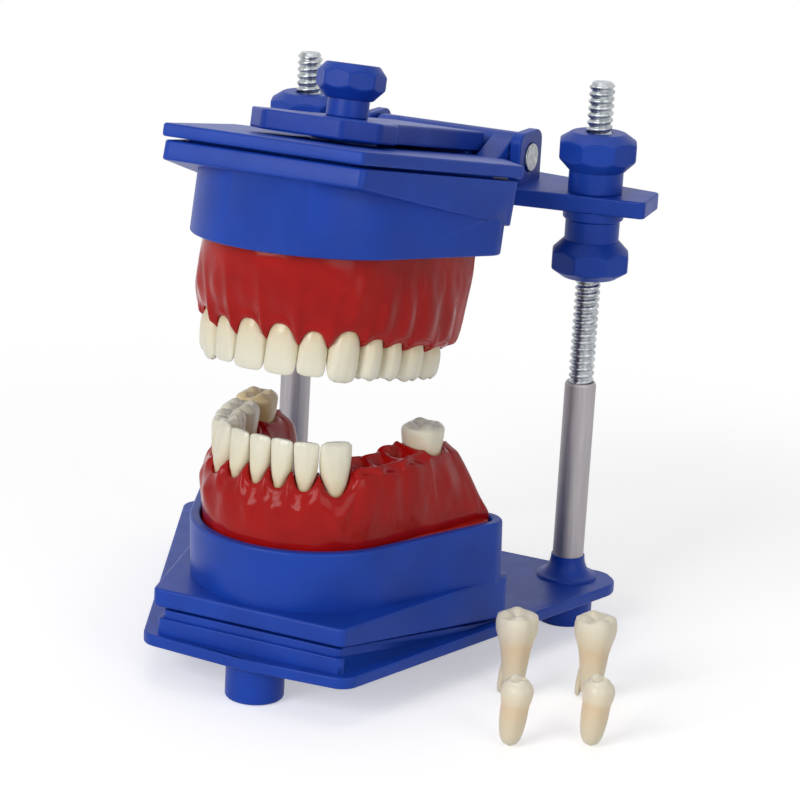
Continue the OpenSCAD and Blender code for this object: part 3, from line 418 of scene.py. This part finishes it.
def bevelledCopy(node, material, width, corner=None, up=(0, 0, 1), spared=()):
    piece = bpy.data.objects.new(node + "_moulding", nodes[node].data.copy())
    bpy.context.collection.objects.link(piece)
    wakeUp(piece)
    bpy.ops.object.mode_set(mode="EDIT")
    bpy.ops.mesh.select_all(action="SELECT")
    bpy.ops.mesh.remove_doubles(threshold=bevelSet["weld"] / perMetre)
    bpy.ops.mesh.dissolve_limited(angle_limit=math.radians(bevelSet["flat"]))
    bpy.ops.mesh.normals_make_consistent(inside=False)
    bpy.ops.object.mode_set(mode="OBJECT")
    mesh = bmesh.new()
    mesh.from_mesh(piece.data)
    corner = corner or width
    markOuterEdges(mesh, width / perMetre, corner / perMetre, Vector(up).normalized(), spared)
    mesh.to_mesh(piece.data)
    mesh.free()
    edge = piece.modifiers.new("wornEdges", "BEVEL")
    edge.limit_method, edge.width = "WEIGHT", max(width, corner) / perMetre
    edge.segments, edge.use_clamp_overlap = bevelSet["segments"], False
    bpy.ops.object.modifier_apply(modifier=edge.name)
    bpy.ops.object.shade_smooth_by_angle(angle=math.radians(bevelSet["smooth"]))
    if node not in plainShading:
        flat = piece.modifiers.new("flatFaces", "WEIGHTED_NORMAL")
        flat.keep_sharp, flat.weight = True, bevelSet["flatWeight"]
        bpy.ops.object.modifier_apply(modifier=flat.name)
    finishPiece(piece, node, material)


for name, (width, corner) in edgeWidths.items():
    up = leant if bodyOf[name] in ("upper_frame", "clamp_knob") else (0, 0, 1)
    bevelledCopy(name, blueAbs, width, corner, up, keptSharp.get(name, ()))
bevelledCopy("hinge_pin", pinSteel, 0.3)
for side in ("left", "right"):
    bevelledCopy("sleeve_" + side, tubeMetal, 0.12)
print("moulded parts ready")


# posts: a plain shank below and a rolled thread above
thread = dict(
    pitch=1.75, crest=3.2, depth=0.55, steps=40, smooth=35,
    spare=3,  # turns made beyond each end and cut off again
    top=dict(rod_left=140.5, rod_right=138.3), chamfer=0.9,
    plainTop=60.0, plainRadius=3.17, plainSides=64,
    overlap=0.4)  # how far the thread goes on inside the shank
loftWeld = 0.002  # points of a lofted piece closer than this are merged


def tidyMesh(piece, sharpAngle=None):  # merged doubles, outward faces, smooth shading
    wakeUp(piece)
    bpy.ops.object.mode_set(mode="EDIT")
    bpy.ops.mesh.select_all(action="SELECT")
    bpy.ops.mesh.remove_doubles(threshold=loftWeld / perMetre)
    bpy.ops.mesh.normals_make_consistent(inside=False)
    bpy.ops.object.mode_set(mode="OBJECT")
    if sharpAngle:
        bpy.ops.object.shade_smooth_by_angle(angle=math.radians(sharpAngle))
    else:
        bpy.ops.object.shade_smooth()
    bpy.ops.object.select_all(action="DESELECT")


def buildRod(node):
    low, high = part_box(node)
    place = Matrix.Translation(((low.x + high.x) / 2, (low.y + high.y) / 2, 0))
    pitch, crest, root = thread["pitch"], thread["crest"], thread["crest"] - thread["depth"]
    plainTop, top = thread["plainTop"], thread["top"][node]
    start = plainTop - thread["spare"] * pitch
    rows = [  # one turn of the thread: share of the pitch, radius
        (0.0, root), (0.14, root), (0.22, root + 0.07), (0.42, crest - 0.08), (0.52, crest),
        (0.66, crest), (0.76, crest - 0.08), (0.96, root + 0.07), (1.0, root)]
    mesh = bpy.data.meshes.new(node + "_thread")
    mesh.from_pydata([(r / perMetre, 0, (start + k * pitch) / perMetre) for k, r in rows],
                     [(i, i + 1) for i in range(len(rows) - 1)], [])
    piece = bpy.data.objects.new(node + "_thread", mesh)
    bpy.context.collection.objects.link(piece)
    wakeUp(piece)
    turn = piece.modifiers.new("helix", "SCREW")
    turn.angle, turn.screw_offset = 2 * math.pi, pitch / perMetre
    turn.iterations = math.ceil((top - plainTop) / pitch) + 2 * thread["spare"]
    turn.steps = turn.render_steps = thread["steps"]
    turn.use_merge_vertices, turn.merge_threshold = True, bevelSet["weld"] / perMetre
    bpy.ops.object.modifier_apply(modifier=turn.name)
    for v in piece.data.vertices:  # the lead-in chamfer at the top
        r = math.hypot(v.co.x, v.co.y)
        allowed = (crest - max(0, v.co.z * perMetre - (top - thread["chamfer"]))) / perMetre
        if r > allowed:
            v.co.x, v.co.y = v.co.x * allowed / r, v.co.y * allowed / r
    bpy.ops.object.mode_set(mode="EDIT")
    for height, clearTop in ((plainTop - thread["overlap"], False), (top, True)):
        bpy.ops.mesh.select_all(action="SELECT")
        bpy.ops.mesh.bisect(plane_co=(0, 0, height / perMetre), plane_no=(0, 0, 1), use_fill=True,
                            clear_outer=clearTop, clear_inner=not clearTop,
                            threshold=bevelSet["weld"] / perMetre)
    bpy.ops.object.mode_set(mode="OBJECT")
    shankTop = plainTop / perMetre
    bpy.ops.mesh.primitive_cylinder_add(radius=thread["plainRadius"] / perMetre, depth=shankTop - low.z,
                                        location=(0, 0, (shankTop + low.z) / 2),
                                        vertices=thread["plainSides"])
    piece.select_set(True)
    bpy.context.view_layer.objects.active = piece
    bpy.ops.object.join()
    piece.data.transform(place)
    tidyMesh(piece, thread["smooth"])
    finishPiece(piece, node, threadSteel)


buildRod("rod_left")
buildRod("rod_right")
print("posts ready")


# jaws: x to the patient's left, y back from the front teeth, z up to the bite plane at 0
archShape = dict(power=2.7, length=45.2, steps=360, gap=0.12, contact=0.15)
# half, front and bite place the arch; rimFront, foot and tray fit the gum to its tray;
# papilla is the gum's rise between teeth, bulge and swell its fullness over the roots,
# tongue its width on the inside and draw its narrowing at the back;
# teeth go from the middle to the back: width, depth, height, kind and reach past the bite plane,
# where kind is 1 for an incisor, 2 for a canine, 3 for a premolar and 4 for a molar
upperJaw = dict(
    half=26.2, front=86.1, bite=54.1, rimFront=14.34, foot=(-27.11, -32.3), tray=56.0,
    papilla=4.4, bulge=0.5, swell=0.35, tongue=5.0, draw=8.6, sockets={},
    teeth=[(7.8, 7, 11.3, 1, 0.4), (6.6, 6.2, 10.6, 1, -0.2), (7.4, 7.8, 11.6, 2, 0.5),
           (6.1, 8, 10.2, 3, 0.1), (5.8, 8, 9.6, 3, 0), (8.2, 9.4, 9.2, 4, 0), (7.6, 9, 8.8, 4, -0.3)])
lowerJaw = dict(
    half=24.4, front=3.1, bite=63.3, rimFront=10.0, foot=(-24.8, -24.8), tray=59.6,
    papilla=4.2, bulge=0.6, swell=0.2, tongue=4.0, draw=2.4,
    sockets={3: (-6.5, 2.4), 4: (-6.7, 3.2), 5: (-6.1, 2.8)},  # empty on the left: crest height and depth
    teeth=[(5.6, 6, 11.2, 1, 0), (6.1, 6.2, 11.2, 1, 0), (7.5, 7.4, 12.2, 2, 0.3),
           (6.4, 7.4, 10.4, 3, 0), (6.4, 7.6, 9.6, 3, -0.2), (9.3, 9.2, 8.6, 4, -0.4),
           (10.8, 9.8, 7.6, 4, 0)])
# outline of the rim that both trays have: a round front, straight sides that taper, round rear corners
rimSet = dict(r=28.7, setback=2.1, taper=23.0, corner=5.5, rearGap=0.5, wall=2.6)


def archCurve(half):  # points of a quarter of a superellipse, and the length along it at each
    e = 2 / archShape["power"]
    pts = []
    for i in range(archShape["steps"] + 1):
        a = math.radians(90 * i / archShape["steps"])
        pts.append((half * math.sin(a) ** e, archShape["length"] * (1 - max(math.cos(a), 0) ** e)))
    run = [0.0]
    for p, q in zip(pts, pts[1:]):
        run.append(run[-1] + math.dist(p, q))
    return pts, run


def along(curve, s):  # past the last point the arch goes on straight to the back
    pts, run = curve
    i = min(max(bisect.bisect(run, abs(s)) - 1, 0), len(pts) - 2)
    k = min((abs(s) - run[i]) / (run[i + 1] - run[i]), 1)
    x, y = pts[i][0] + (pts[i + 1][0] - pts[i][0]) * k, pts[i][1] + (pts[i + 1][1] - pts[i][1]) * k
    return Vector((-x if s < 0 else x, y + max(0, abs(s) - run[-1])))


def heading(curve, s):  # angle of the arch at s
    step = along(curve, s + 0.4) - along(curve, s - 0.4)
    return math.atan2(step.y, step.x)


def toothSpots(jaw):  # (distance along the arch, number, side) of all positions
    spots = []
    for side in (-1, 1):
        start = 0
        for k, tooth in enumerate(jaw["teeth"]):
            spots.append((side * (start + (tooth[0] + archShape["gap"]) / 2), k, side))
            start += tooth[0] + archShape["gap"]
    return sorted(spots)


def jawMatrix(jaw):  # from the bite plane in millimetres to the scene in metres
    scale = Matrix.Scale(1 / perMetre, 4)
    if jaw is lowerJaw:
        return scale @ Matrix.Translation((0, jaw["front"], jaw["bite"]))
    turn = Matrix.Rotation(math.radians(-hingeSet["open"]), 4, "X")
    flip = Matrix.Diagonal((1, 1, -1, 1))
    return scale @ Matrix.Translation((0, hingeSet["y"], hingeSet["z"])) @ turn @ \
        Matrix.Translation((0, -jaw["front"], -jaw["bite"])) @ flip


def spread(rows, t):  # smooth reading of rows (t, values...) at t, without overshoot
    i = 0
    while i < len(rows) - 2 and t > rows[i + 1][0]:
        i += 1
    a, b = rows[i], rows[i + 1]
    before, after = rows[max(i - 1, 0)], rows[min(i + 2, len(rows) - 1)]
    span = max(b[0] - a[0], 1e-6)
    k = min(max((t - a[0]) / span, 0), 1)
    out = []
    for c in range(1, len(a)):
        startSlope = (b[c] - before[c]) / max(b[0] - before[0], 1e-6) * span
        endSlope = (after[c] - a[c]) / max(after[0] - a[0], 1e-6) * span
        if (b[c] - a[c]) * (a[c] - before[c]) <= 0:
            startSlope = 0
        if (after[c] - b[c]) * (b[c] - a[c]) <= 0:
            endSlope = 0
        out.append((2 * k ** 3 - 3 * k * k + 1) * a[c] + (k ** 3 - 2 * k * k + k) * startSlope
                   + (3 * k * k - 2 * k ** 3) * b[c] + (k ** 3 - k * k) * endSlope)
    return out


def loftPiece(name, points, around, rootward=None, sharpAngle=None):
    # closed rings of points, skinned and capped; rootward is 0 at a tooth's top and 1 at its neck or root tip
    rings = len(points) // around
    faces = [(j * around + i, j * around + (i + 1) % around, (j + 1) * around + (i + 1) % around,
              (j + 1) * around + i) for j in range(rings - 1) for i in range(around)]
    faces += [tuple(range(around))[::-1], tuple(range((rings - 1) * around, rings * around))]
    mesh = bpy.data.meshes.new(name)
    mesh.from_pydata(points, [], faces)
    if rootward:
        mesh.attributes.new("rootward", "FLOAT", "POINT").data.foreach_set("value", rootward)
    piece = bpy.data.objects.new(name, mesh)
    bpy.context.collection.objects.link(piece)
    tidyMesh(piece, sharpAngle)
    return piece


# gums: sections across the arch, from under the rim over the cuff round the teeth to the tongue side
gumSet = dict(
    stations=340, crowding=1.12,  # sections along a jaw, closer together at its ends
    tail=6.5,  # length past the last tooth
    cuff=0.42,  # how far the gum stands out round a tooth
    dip=0.35,  # depth of its edge at a tooth, which hides in the crown
    socketRim=1.3,  # the tongue side of the empty sockets stands higher
    uneven=0.1,  # unevenness of the outside
    baseInset=0.5, baseDepth=4.5, baseCentre=32.0, baseSmooth=40,
    baseArcs=(24, 8),  # steps of the round front's half and of a rear corner
    baseEdge=((1.1, 0), (0.6, 0.15), (0.3, 0.5), (0.2, 1.1)))  # depth under the rim and how far it draws in
gumSteps = [0, 0.03, 0.05]  # places of a section's points between 0 and 1
for start, length, count in ((0.05, 0.35, 18), (0.4, 0.12, 14), (0.52, 0.15, 12), (0.67, 0.28, 14)):
    gumSteps += [start + length * i / count for i in range(1, count + 1)]
gumSteps += [0.97, 1]


def rimDistance(jaw, q, way, inset):  # from a point of the arch out to the rim's outline drawn in by inset
    r = rimSet["r"] - inset
    mid = Vector((0, rimSet["setback"] + rimSet["r"]))
    out = Vector((math.cos(math.radians(rimSet["taper"])), -math.sin(math.radians(rimSet["taper"]))))
    side = mid.dot(out) + rimSet["r"]
    at = Vector((abs(q.x), q.y + jaw["rimFront"]))
    d = Vector((-way.x if q.x < 0 else way.x, way.y))
    m = at - mid
    b = m.dot(d)
    toRound = -b + math.sqrt(max(0, b * b - m.dot(m) + r * r))
    toFlat = (side - inset - at.dot(out)) / max(d.dot(out), 0.1)
    return toRound if at.y + toRound * d.y < (mid + r * out).y else toFlat


def softNoise(s, z):  # slow hand-made unevenness, about one unit high
    return math.sin(s * 0.37 + 1.3) * math.sin(z * 0.31 + 0.7) + 0.6 * math.sin(s * 0.83 + z * 0.42) \
        + 0.4 * math.sin(s * 1.7 - z * 0.9)


def footHeight(jaw, y):  # height of the tray's floor, y behind its front
    return jaw["foot"][0] + (jaw["foot"][1] - jaw["foot"][0]) * y / jaw["tray"]


def gumSection(jaw, curve, s, spots, reach):
    teeth, sockets = jaw["teeth"], jaw["sockets"]
    q = along(curve, s)
    a = heading(curve, s)
    out = Vector((math.sin(a), -math.cos(a)))
    order = sorted(spots, key=lambda spot: abs(spot[0] - s) - teeth[spot[1]][0] / 2)
    (s0, k, side), (s1, k1, side1) = order[0], order[1]  # the nearest place and the one beside it
    u = min(1, abs(s - s0) / (teeth[k][0] / 2 + archShape["gap"] / 2))  # 0 at its middle, 1 at its side
    outermost = abs(s) > abs(s0) and k == len(teeth) - 1
    share = 0.5 * u ** 4 if (s - s0) * (s1 - s0) > 0 and not outermost else 0  # of the neighbour
    empty = side > 0 and k in sockets

    def crest(side, k, u):  # height of the gum's edge at u from the middle of tooth k
        if side > 0 and k in sockets:
            return sockets[k][0] + 0.3 * (1 - math.cos(math.pi * u))
        besideSocket = side > 0 and k + 1 in sockets and s > s0
        rise = jaw["papilla"] * (1 if teeth[k][3] < 3 else 0.45) * u ** (1.7 if besideSocket else 2.6)
        if outermost:
            rise = 1.2 * u * u
        return -teeth[k][2] + rise - 0.15

    line = crest(side, k, u) * (1 - share) + crest(side1, k1, 1) * share
    d = (teeth[k][1] * (1 - share) + teeth[k1][1] * share) / 2
    forward = 0.12 * d if teeth[k][3] <= 2 else 0.0  # front crowns stand further out
    mid = -2 * archShape["contact"] * d
    rounding = (1 - min(u, 0.985) ** 2.5) ** (1 / 2.5)
    tooth = d * (max(0.45, rounding) if outermost else rounding)
    end = max(0, (abs(s) - reach + gumSet["tail"]) / gumSet["tail"])
    fade = max(0.006, 1 - end ** 3.4) ** 0.4  # 1 along the teeth, falling to nearly 0 at the very end
    footZ = footHeight(jaw, q.y + jaw["rimFront"])
    line += (footZ + 0.5 - line) * (1 - fade) ** 1.15
    d, tooth = d * (0.35 + 0.65 * fade), tooth * (0.35 + 0.65 * fade)
    wall = rimDistance(jaw, q, out, rimSet["wall"] + 0.15) - 0.2 - jaw["draw"] * (abs(s) / reach) ** 3
    tall = line - footZ
    root = math.cos(math.pi * u) * 0.5 + 0.5
    swell = jaw["bulge"] * fade * ((root - 0.35) * 1.5 if not empty else 0.5 * (root - 0.5))
    if not empty and teeth[k][3] == 2:  # the long root of a canine
        swell += 0.35 * root
    uneven = gumSet["uneven"] * fade
    outer, inner = tooth * 0.97 + forward * (1 - u), tooth * 0.96
    dip, lift = gumSet["dip"], 0.0
    if empty:
        dip = sockets[k][1] * (0.5 + 0.5 * math.cos(math.pi * min(1, u / 0.95)))
        outer = inner = d * (0.72 + 0.08 * math.sin(s * 0.8))
        line += 0.3 * math.sin(s * 0.9 + 0.4)
        lift = gumSet["socketRim"] - 0.5 * u * u
    cuff = gumSet["cuff"]
    rows = [  # place along the section, distance out from the arch, height
        (0, wall, footZ - 2.0), (0.05, wall, footZ),
        (0.13, wall * 0.985 + 0.2 + 0.4 * uneven * softNoise(s, 3), footZ + tall * 0.12),
        (0.24, wall * 0.62 + d * 0.38 + 0.5 + jaw["swell"] + swell * 0.25 + uneven * softNoise(s, 7),
         footZ + tall * 0.38),
        (0.33, wall * 0.28 + (mid + d) * 0.72 + 1.5 + swell + uneven * softNoise(s, 11),
         footZ + tall * 0.66),
        (0.40, mid + d + 1.15 + swell * 0.85, line - 2.2),
        (0.45, mid + outer + cuff + 0.55 + 0.3 * (d - tooth), line - 0.95),
        (0.48, mid + outer + cuff + 0.12, line - 0.2), (0.5, mid + outer + cuff * 0.3, line + 0.08),
        (0.52, mid + outer - 0.35, line - 0.12), (0.56, mid + (outer - inner) / 2, line - dip),
        (0.6, mid - inner + 0.35, line - 0.12 - dip * 0.06 + lift),
        (0.63, mid - inner - 0.15, line + 0.05 + lift), (0.67, mid - inner - 0.75, line - 0.6 + lift),
        (0.75, mid - d - 1.5 - 0.25 * swell, line - min(3.2, tall * 0.3)),
        (0.86, mid - d - 2.9 + 0.2 * uneven * softNoise(s, 17), footZ + tall * 0.36),
        (0.95, mid - d - jaw["tongue"], footZ + min(0.8, tall * 0.1)),
        (1, mid - d - jaw["tongue"] - 0.2, footZ - 2.0)]
    points = []
    for t in gumSteps:
        off, z = spread(rows, t)
        p = q + out * off
        points.append(Vector((p.x, p.y, z)))
    return points


def gumBase(jaw, matrix):  # rings of the plate that fills the tray up to the rim, and the points in each
    rim, inset, middle = rimSet, rimSet["wall"] + gumSet["baseInset"], gumSet["baseCentre"]
    out = Vector((math.cos(math.radians(rim["taper"])), -math.sin(math.radians(rim["taper"]))))
    mid = Vector((0, rim["setback"] + rim["r"]))
    y = jaw["tray"] - rim["rearGap"] - rim["corner"]
    back = Vector(((mid.dot(out) + rim["r"] - rim["corner"] - y * out.y) / out.x, y))
    front, rear = gumSet["baseArcs"]
    half = [mid + (rim["r"] - inset) * Vector((math.sin(a), -math.cos(a))) for a in
            [math.radians(i * (90 - rim["taper"]) / front) for i in range(front + 1)]]
    half += [back + (rim["corner"] - inset) * Vector((math.cos(a), math.sin(a))) for a in
             [math.radians(-rim["taper"] + i * (90 + rim["taper"]) / rear) for i in range(rear + 1)]]
    loop = half + [Vector((-p.x, p.y)) for p in half[:0:-1]]
    points = []
    for drop, shrink in ((gumSet["baseDepth"], 0),) + gumSet["baseEdge"]:
        for p in loop:
            inward = (p - Vector((0, middle))) * (shrink / middle)
            points.append(matrix @ Vector((p.x - inward.x, p.y - inward.y - jaw["rimFront"],
                                           footHeight(jaw, p.y) - drop)))
    return points, len(loop)


def buildGum(jaw, word):
    curve = archCurve(jaw["half"])
    spots = toothSpots(jaw)
    reach = spots[-1][0] + jaw["teeth"][-1][0] / 2 + gumSet["tail"]
    n, matrix = gumSet["stations"], jawMatrix(jaw)
    stations = [reach * math.copysign(1 - (1 - abs(k)) ** gumSet["crowding"], k)
                for k in [-1 + 2 * i / n for i in range(n + 1)]]
    ridge = [matrix @ p for s in stations for p in gumSection(jaw, curve, s, spots, reach)]
    base, around = gumBase(jaw, matrix)
    finishPiece(loftPiece(word + "_gum_ridge", ridge, len(gumSteps)), word + "_gum", gumAcrylic)
    plate = loftPiece(word + "_gum_base", base, around, sharpAngle=gumSet["baseSmooth"])
    finishPiece(plate, word + "_gum", gumAcrylic)
    print(word, "gum ready")


# crowns: rows of (share of the height, width and depth as shares of the tooth's, shift to the lips)
crownRows = dict(
    upperFront=[(0, 0.82, 0.92, 0.04), (0.12, 0.88, 1.0, 0.06), (0.35, 0.975, 0.9, 0.14),
                (0.55, 1.0, 0.68, 0.26), (0.76, 1.0, 0.44, 0.36), (0.89, 0.97, 0.32, 0.4),
                (0.955, 0.91, 0.23, 0.42), (0.99, 0.8, 0.16, 0.42), (1.0, 0.66, 0.12, 0.42)],
    upperCanine=[(0, 0.84, 0.92, 0.04), (0.15, 0.91, 1.0, 0.08), (0.4, 1.0, 0.94, 0.14),
                 (0.6, 1.0, 0.76, 0.24), (0.78, 0.96, 0.54, 0.32), (0.9, 0.85, 0.38, 0.36),
                 (0.965, 0.69, 0.26, 0.37), (1.0, 0.42, 0.14, 0.37)],
    lowerFront=[(0, 0.6, 0.9, 0.02), (0.2, 0.76, 1.0, 0.06), (0.42, 0.89, 0.84, 0.15),
                (0.68, 0.96, 0.56, 0.26), (0.88, 0.995, 0.34, 0.33), (0.96, 0.99, 0.24, 0.35),
                (1.0, 0.93, 0.16, 0.35)],
    lowerCanine=[(0, 0.64, 0.92, 0.02), (0.22, 0.8, 1.0, 0.06), (0.45, 0.93, 0.86, 0.14),
                 (0.7, 1.0, 0.62, 0.24), (0.88, 1.0, 0.42, 0.3), (0.96, 0.93, 0.28, 0.34),
                 (1.0, 0.74, 0.16, 0.35)],
    lowerBack=[(0, 0.86, 0.9, 0), (0.3, 0.89, 0.95, 0), (0.6, 0.95, 0.99, 0), (0.84, 1.0, 1.0, 0),
               (0.94, 0.99, 0.95, 0), (1.0, 0.94, 0.88, 0)],
    upperBack=[(0, 0.9, 0.92, 0), (0.3, 0.97, 1.0, 0), (0.62, 1.0, 0.98, 0), (0.84, 0.98, 0.92, 0),
               (0.94, 0.94, 0.86, 0), (1.0, 0.87, 0.79, 0)])
crownWord = {1: "Front", 2: "Canine", 3: "Back", 4: "Back"}
crownSet = dict(around=44, neckRings=4, sideRings=26, faceRings=12, neck=-5.0, neckShare=0.56,
                faceDrop=1.2)  # depth of the chewing face under the tips of the cusps
cusps = {3: ((0, 0.56, 1.0), (0, -0.56, 0.75)),  # place in half widths and half depths, height
         4: ((0.46, 0.5, 1.0), (-0.48, 0.52, 0.9), (0.48, -0.5, 0.85), (-0.46, -0.5, 0.95))}
carving = dict(hollow=0.16, furrow=0.035, furrowPlace=0.33, furrowWidth=0.13, groove=0.07, grooveWidth=0.14,
               cornerDrop=0.035)
shadeDarkenedTeeth = ("lower_tooth_r7",)  # painted shade: coloured darker and browner than the others, for the far molar that lies in shade


def cuspLift(kind, x, y):  # height over the rim of the chewing face, from x and y in half widths
    hills = sum(k * math.exp(-((x - a) / 0.36) ** 2 - ((y - b) / 0.34) ** 2) for a, b, k in cusps[kind])
    groove = math.exp(-(y / 0.16) ** 2) + (0.7 * math.exp(-(x / 0.13) ** 2) if kind == 4 else 0)
    return 0.95 * hills - 0.5 * groove - 0.45


def carved(kind, w, d, h, x, y, z, lipward, share, faceShare):
    # a point of a crown with its furrows and cusps; lipward is -1 at the tongue side and 1 at the lips
    if kind <= 2 and lipward < 0 and share > 0.3:  # hollow tongue side of the front teeth
        y += d * carving["hollow"] * math.sin(math.pi * min(1, (share - 0.3) / 0.7)) * lipward \
            * math.cos(x / w * 1.5)
    if kind <= 2 and lipward > 0 and share > 0.2:  # two shallow furrows down the lip side
        furrows = sum(math.exp(-((x / w - place) / carving["furrowWidth"]) ** 2)
                      for place in (carving["furrowPlace"], -carving["furrowPlace"]))
        y += d * carving["furrow"] * furrows * min(1, (share - 0.2) * 3)
    if kind == 4 and share > 0.35:  # groove down the cheek and tongue sides of a molar
        deep = d * carving["groove"] * math.exp(-(x / w / carving["grooveWidth"]) ** 2)
        y += math.copysign(deep * min(1, (share - 0.35) * 3), lipward)
    if kind <= 2 and share > 0.85:  # corners of the edge drop a little
        z -= h * carving["cornerDrop"] * abs(x / w) ** 3 * (share - 0.85) / 0.15 * (1.0 if kind == 1 else 0.4)
    if kind >= 3 and faceShare > 0:
        z = min(z + cuspLift(kind, x / w, y / d) * min(1, faceShare * 3.2), h)
    return x, y, z


def crownMesh(name, tooth, rows, matrix, neck=crownSet["neck"], neckShare=crownSet["neckShare"]):
    width, depth, height, kind, reach = tooth
    w, d, h = width / 2, depth / 2, height + reach
    around, faceRings = crownSet["around"], crownSet["faceRings"]
    points, rootward = [], []

    def ring(wide, deep, shift, level, share, faceShare=0.0):
        for i in range(around):
            a = 2 * math.pi * (i + 0.5) / around
            c, s = math.cos(a), math.sin(a)
            x = w * wide * math.copysign(abs(c) ** 0.82, c)
            y = d * deep * math.copysign(abs(s) ** 0.88, s)
            x, y, z = carved(kind, w, d, h, x, y, level, -s, share, faceShare)
            points.append(matrix @ Vector((x, y - shift * d, z)))
            rootward.append(1 - min(max(share, 0), 1))

    for i in range(crownSet["neckRings"]):  # the neck goes down into the gum, or is the tip of a loose root
        level = neck * (1 - (i / crownSet["neckRings"]) ** 1.2)
        wide = neckShare + (rows[0][1] - neckShare) * (1 - (level / neck) ** 1.5)
        ring(wide, wide + 0.1, rows[0][3], level, 0)
    sideTop = 1.0 if kind <= 2 else 1 - crownSet["faceDrop"] / h
    for i in range(crownSet["sideRings"] + 1):
        share = 1 - (1 - i / crownSet["sideRings"]) ** 1.35
        wide, deep, shift = spread(rows, share)
        ring(wide, deep, shift, h * sideTop * share, share)
    if kind <= 2:  # a front tooth ends in a blunt edge
        for k, rise in ((0.92, 0.03), (0.6, 0.05)):
            ring(wide * k, deep * k, shift, h + rise, 1)
    else:
        for j in range(1, faceRings):
            k = 1 - (j / faceRings) ** 1.1
            ring(wide * k, deep * k, 0, h * sideTop + 0.5 * min(1, j / 3), 1, j / faceRings)
    return loftPiece(name, points, around, rootward)


def buildTeeth(jaw, word):
    curve = archCurve(jaw["half"])
    for s, k, side in toothSpots(jaw):
        if side > 0 and k in jaw["sockets"]:
            continue
        tooth = jaw["teeth"][k]
        q = along(curve, s)
        place = jawMatrix(jaw) @ Matrix.Translation((q.x, q.y, -tooth[2])) \
            @ Matrix.Rotation(heading(curve, s), 4, "Z") \
            @ Matrix.Translation((0, archShape["contact"] * tooth[1], 0))
        node = word + "_tooth_" + ("l" if side > 0 else "r") + str(k + 1)
        crown = crownMesh(node + "_crown", tooth, crownRows[word + crownWord[tooth[3]]], place)
        finishPiece(crown, node, shadeDarkenedResin if node in shadeDarkenedTeeth else toothResin)


buildGum(lowerJaw, "lower")
buildGum(upperJaw, "upper")
buildTeeth(lowerJaw, "lower")
buildTeeth(upperJaw, "upper")
print("jaws ready")


# the four teeth that lie loose beside the model, standing on their roots
looseTeeth = dict(  # x, y, turn, width, depth, height, kind, lean to the right
    loose_molar_1=(51.8, 34.5, 70, 9.8, 9.8, 21.8, 4, 0),
    loose_molar_2=(68.5, 43.1, 80, 9.8, 9.8, 21.8, 4, 0),
    loose_premolar_1=(63.6, 5.9, 60, 7.2, 7.4, 17.6, 3, 5),
    loose_premolar_2=(79.4, 16.4, 60, 7.2, 7.4, 17.6, 3, 5))
looseRows = {  # by kind, the whole tooth from the root's tip up, as in crownRows
    4: [(0, 0.05, 0.05, 0), (0.01, 0.22, 0.22, 0), (0.04, 0.36, 0.37, 0), (0.12, 0.47, 0.5, 0),
        (0.3, 0.54, 0.58, 0), (0.46, 0.63, 0.66, 0), (0.58, 0.7, 0.72, 0), (0.7, 0.82, 0.84, 0),
        (0.82, 0.97, 0.98, 0), (0.93, 1.0, 1.0, 0), (1.0, 0.95, 0.94, 0)],
    3: [(0, 0.05, 0.05, 0), (0.012, 0.26, 0.26, 0), (0.05, 0.46, 0.46, 0), (0.14, 0.66, 0.64, 0),
        (0.3, 0.8, 0.76, 0), (0.5, 0.87, 0.82, 0), (0.62, 0.87, 0.84, 0), (0.74, 0.95, 0.96, 0),
        (0.84, 1.0, 1.0, 0), (0.93, 0.9, 0.9, 0), (1.0, 0.64, 0.62, 0)]}
standSet = dict(lift=0.06, neck=-0.05, neckShare=0.05)  # the tip of the root clears the floor by a hair
legSet = dict(  # a molar's second root; rows: share of its height, size, share of its distance out
    turn=178, out=3.5, rx=1.0, ry=1.25, height=12.6, around=28, rings=20,
    rows=[(0, 0.05, 1.0), (0.03, 0.5, 1.0), (0.1, 0.75, 0.98), (0.4, 1.0, 0.82), (0.7, 1.1, 0.6),
          (1.0, 1.1, 0.42)])


def legMesh(name, whole, matrix):  # the second, thinner root of a molar of that whole height
    points, rootward = [], []
    for j in range(legSet["rings"] + 1):
        share = j / legSet["rings"]
        k, out = spread(legSet["rows"], share)
        for i in range(legSet["around"]):
            a = 2 * math.pi * i / legSet["around"]
            points.append(matrix @ Vector((legSet["out"] * out + legSet["rx"] * k * math.cos(a),
                                           legSet["ry"] * k * math.sin(a), legSet["height"] * share)))
            rootward.append(1 - share * legSet["height"] / whole)
    return loftPiece(name, points, legSet["around"], rootward)


def buildLoose():
    for node, (x, y, turn, width, depth, height, kind, lean) in looseTeeth.items():
        stand = Matrix.Scale(1 / perMetre, 4) @ Matrix.Translation((x, y, standSet["lift"])) \
            @ Matrix.Rotation(math.radians(lean), 4, "Y")
        tooth = (width, depth, height - standSet["lift"], kind, 0)
        turned, legTurned = (stand @ Matrix.Rotation(math.radians(a), 4, "Z") for a in (turn, legSet["turn"]))
        piece = crownMesh(node + "_whole", tooth, looseRows[kind], turned, standSet["neck"],
                          standSet["neckShare"])
        if kind == 4:
            leg = legMesh(node + "_leg", height, legTurned)
            wakeUp(piece)
            leg.select_set(True)
            bpy.ops.object.join()
            bpy.ops.object.shade_smooth()
        finishPiece(piece, node, rootedResin)
    print("loose teeth ready")


buildLoose()
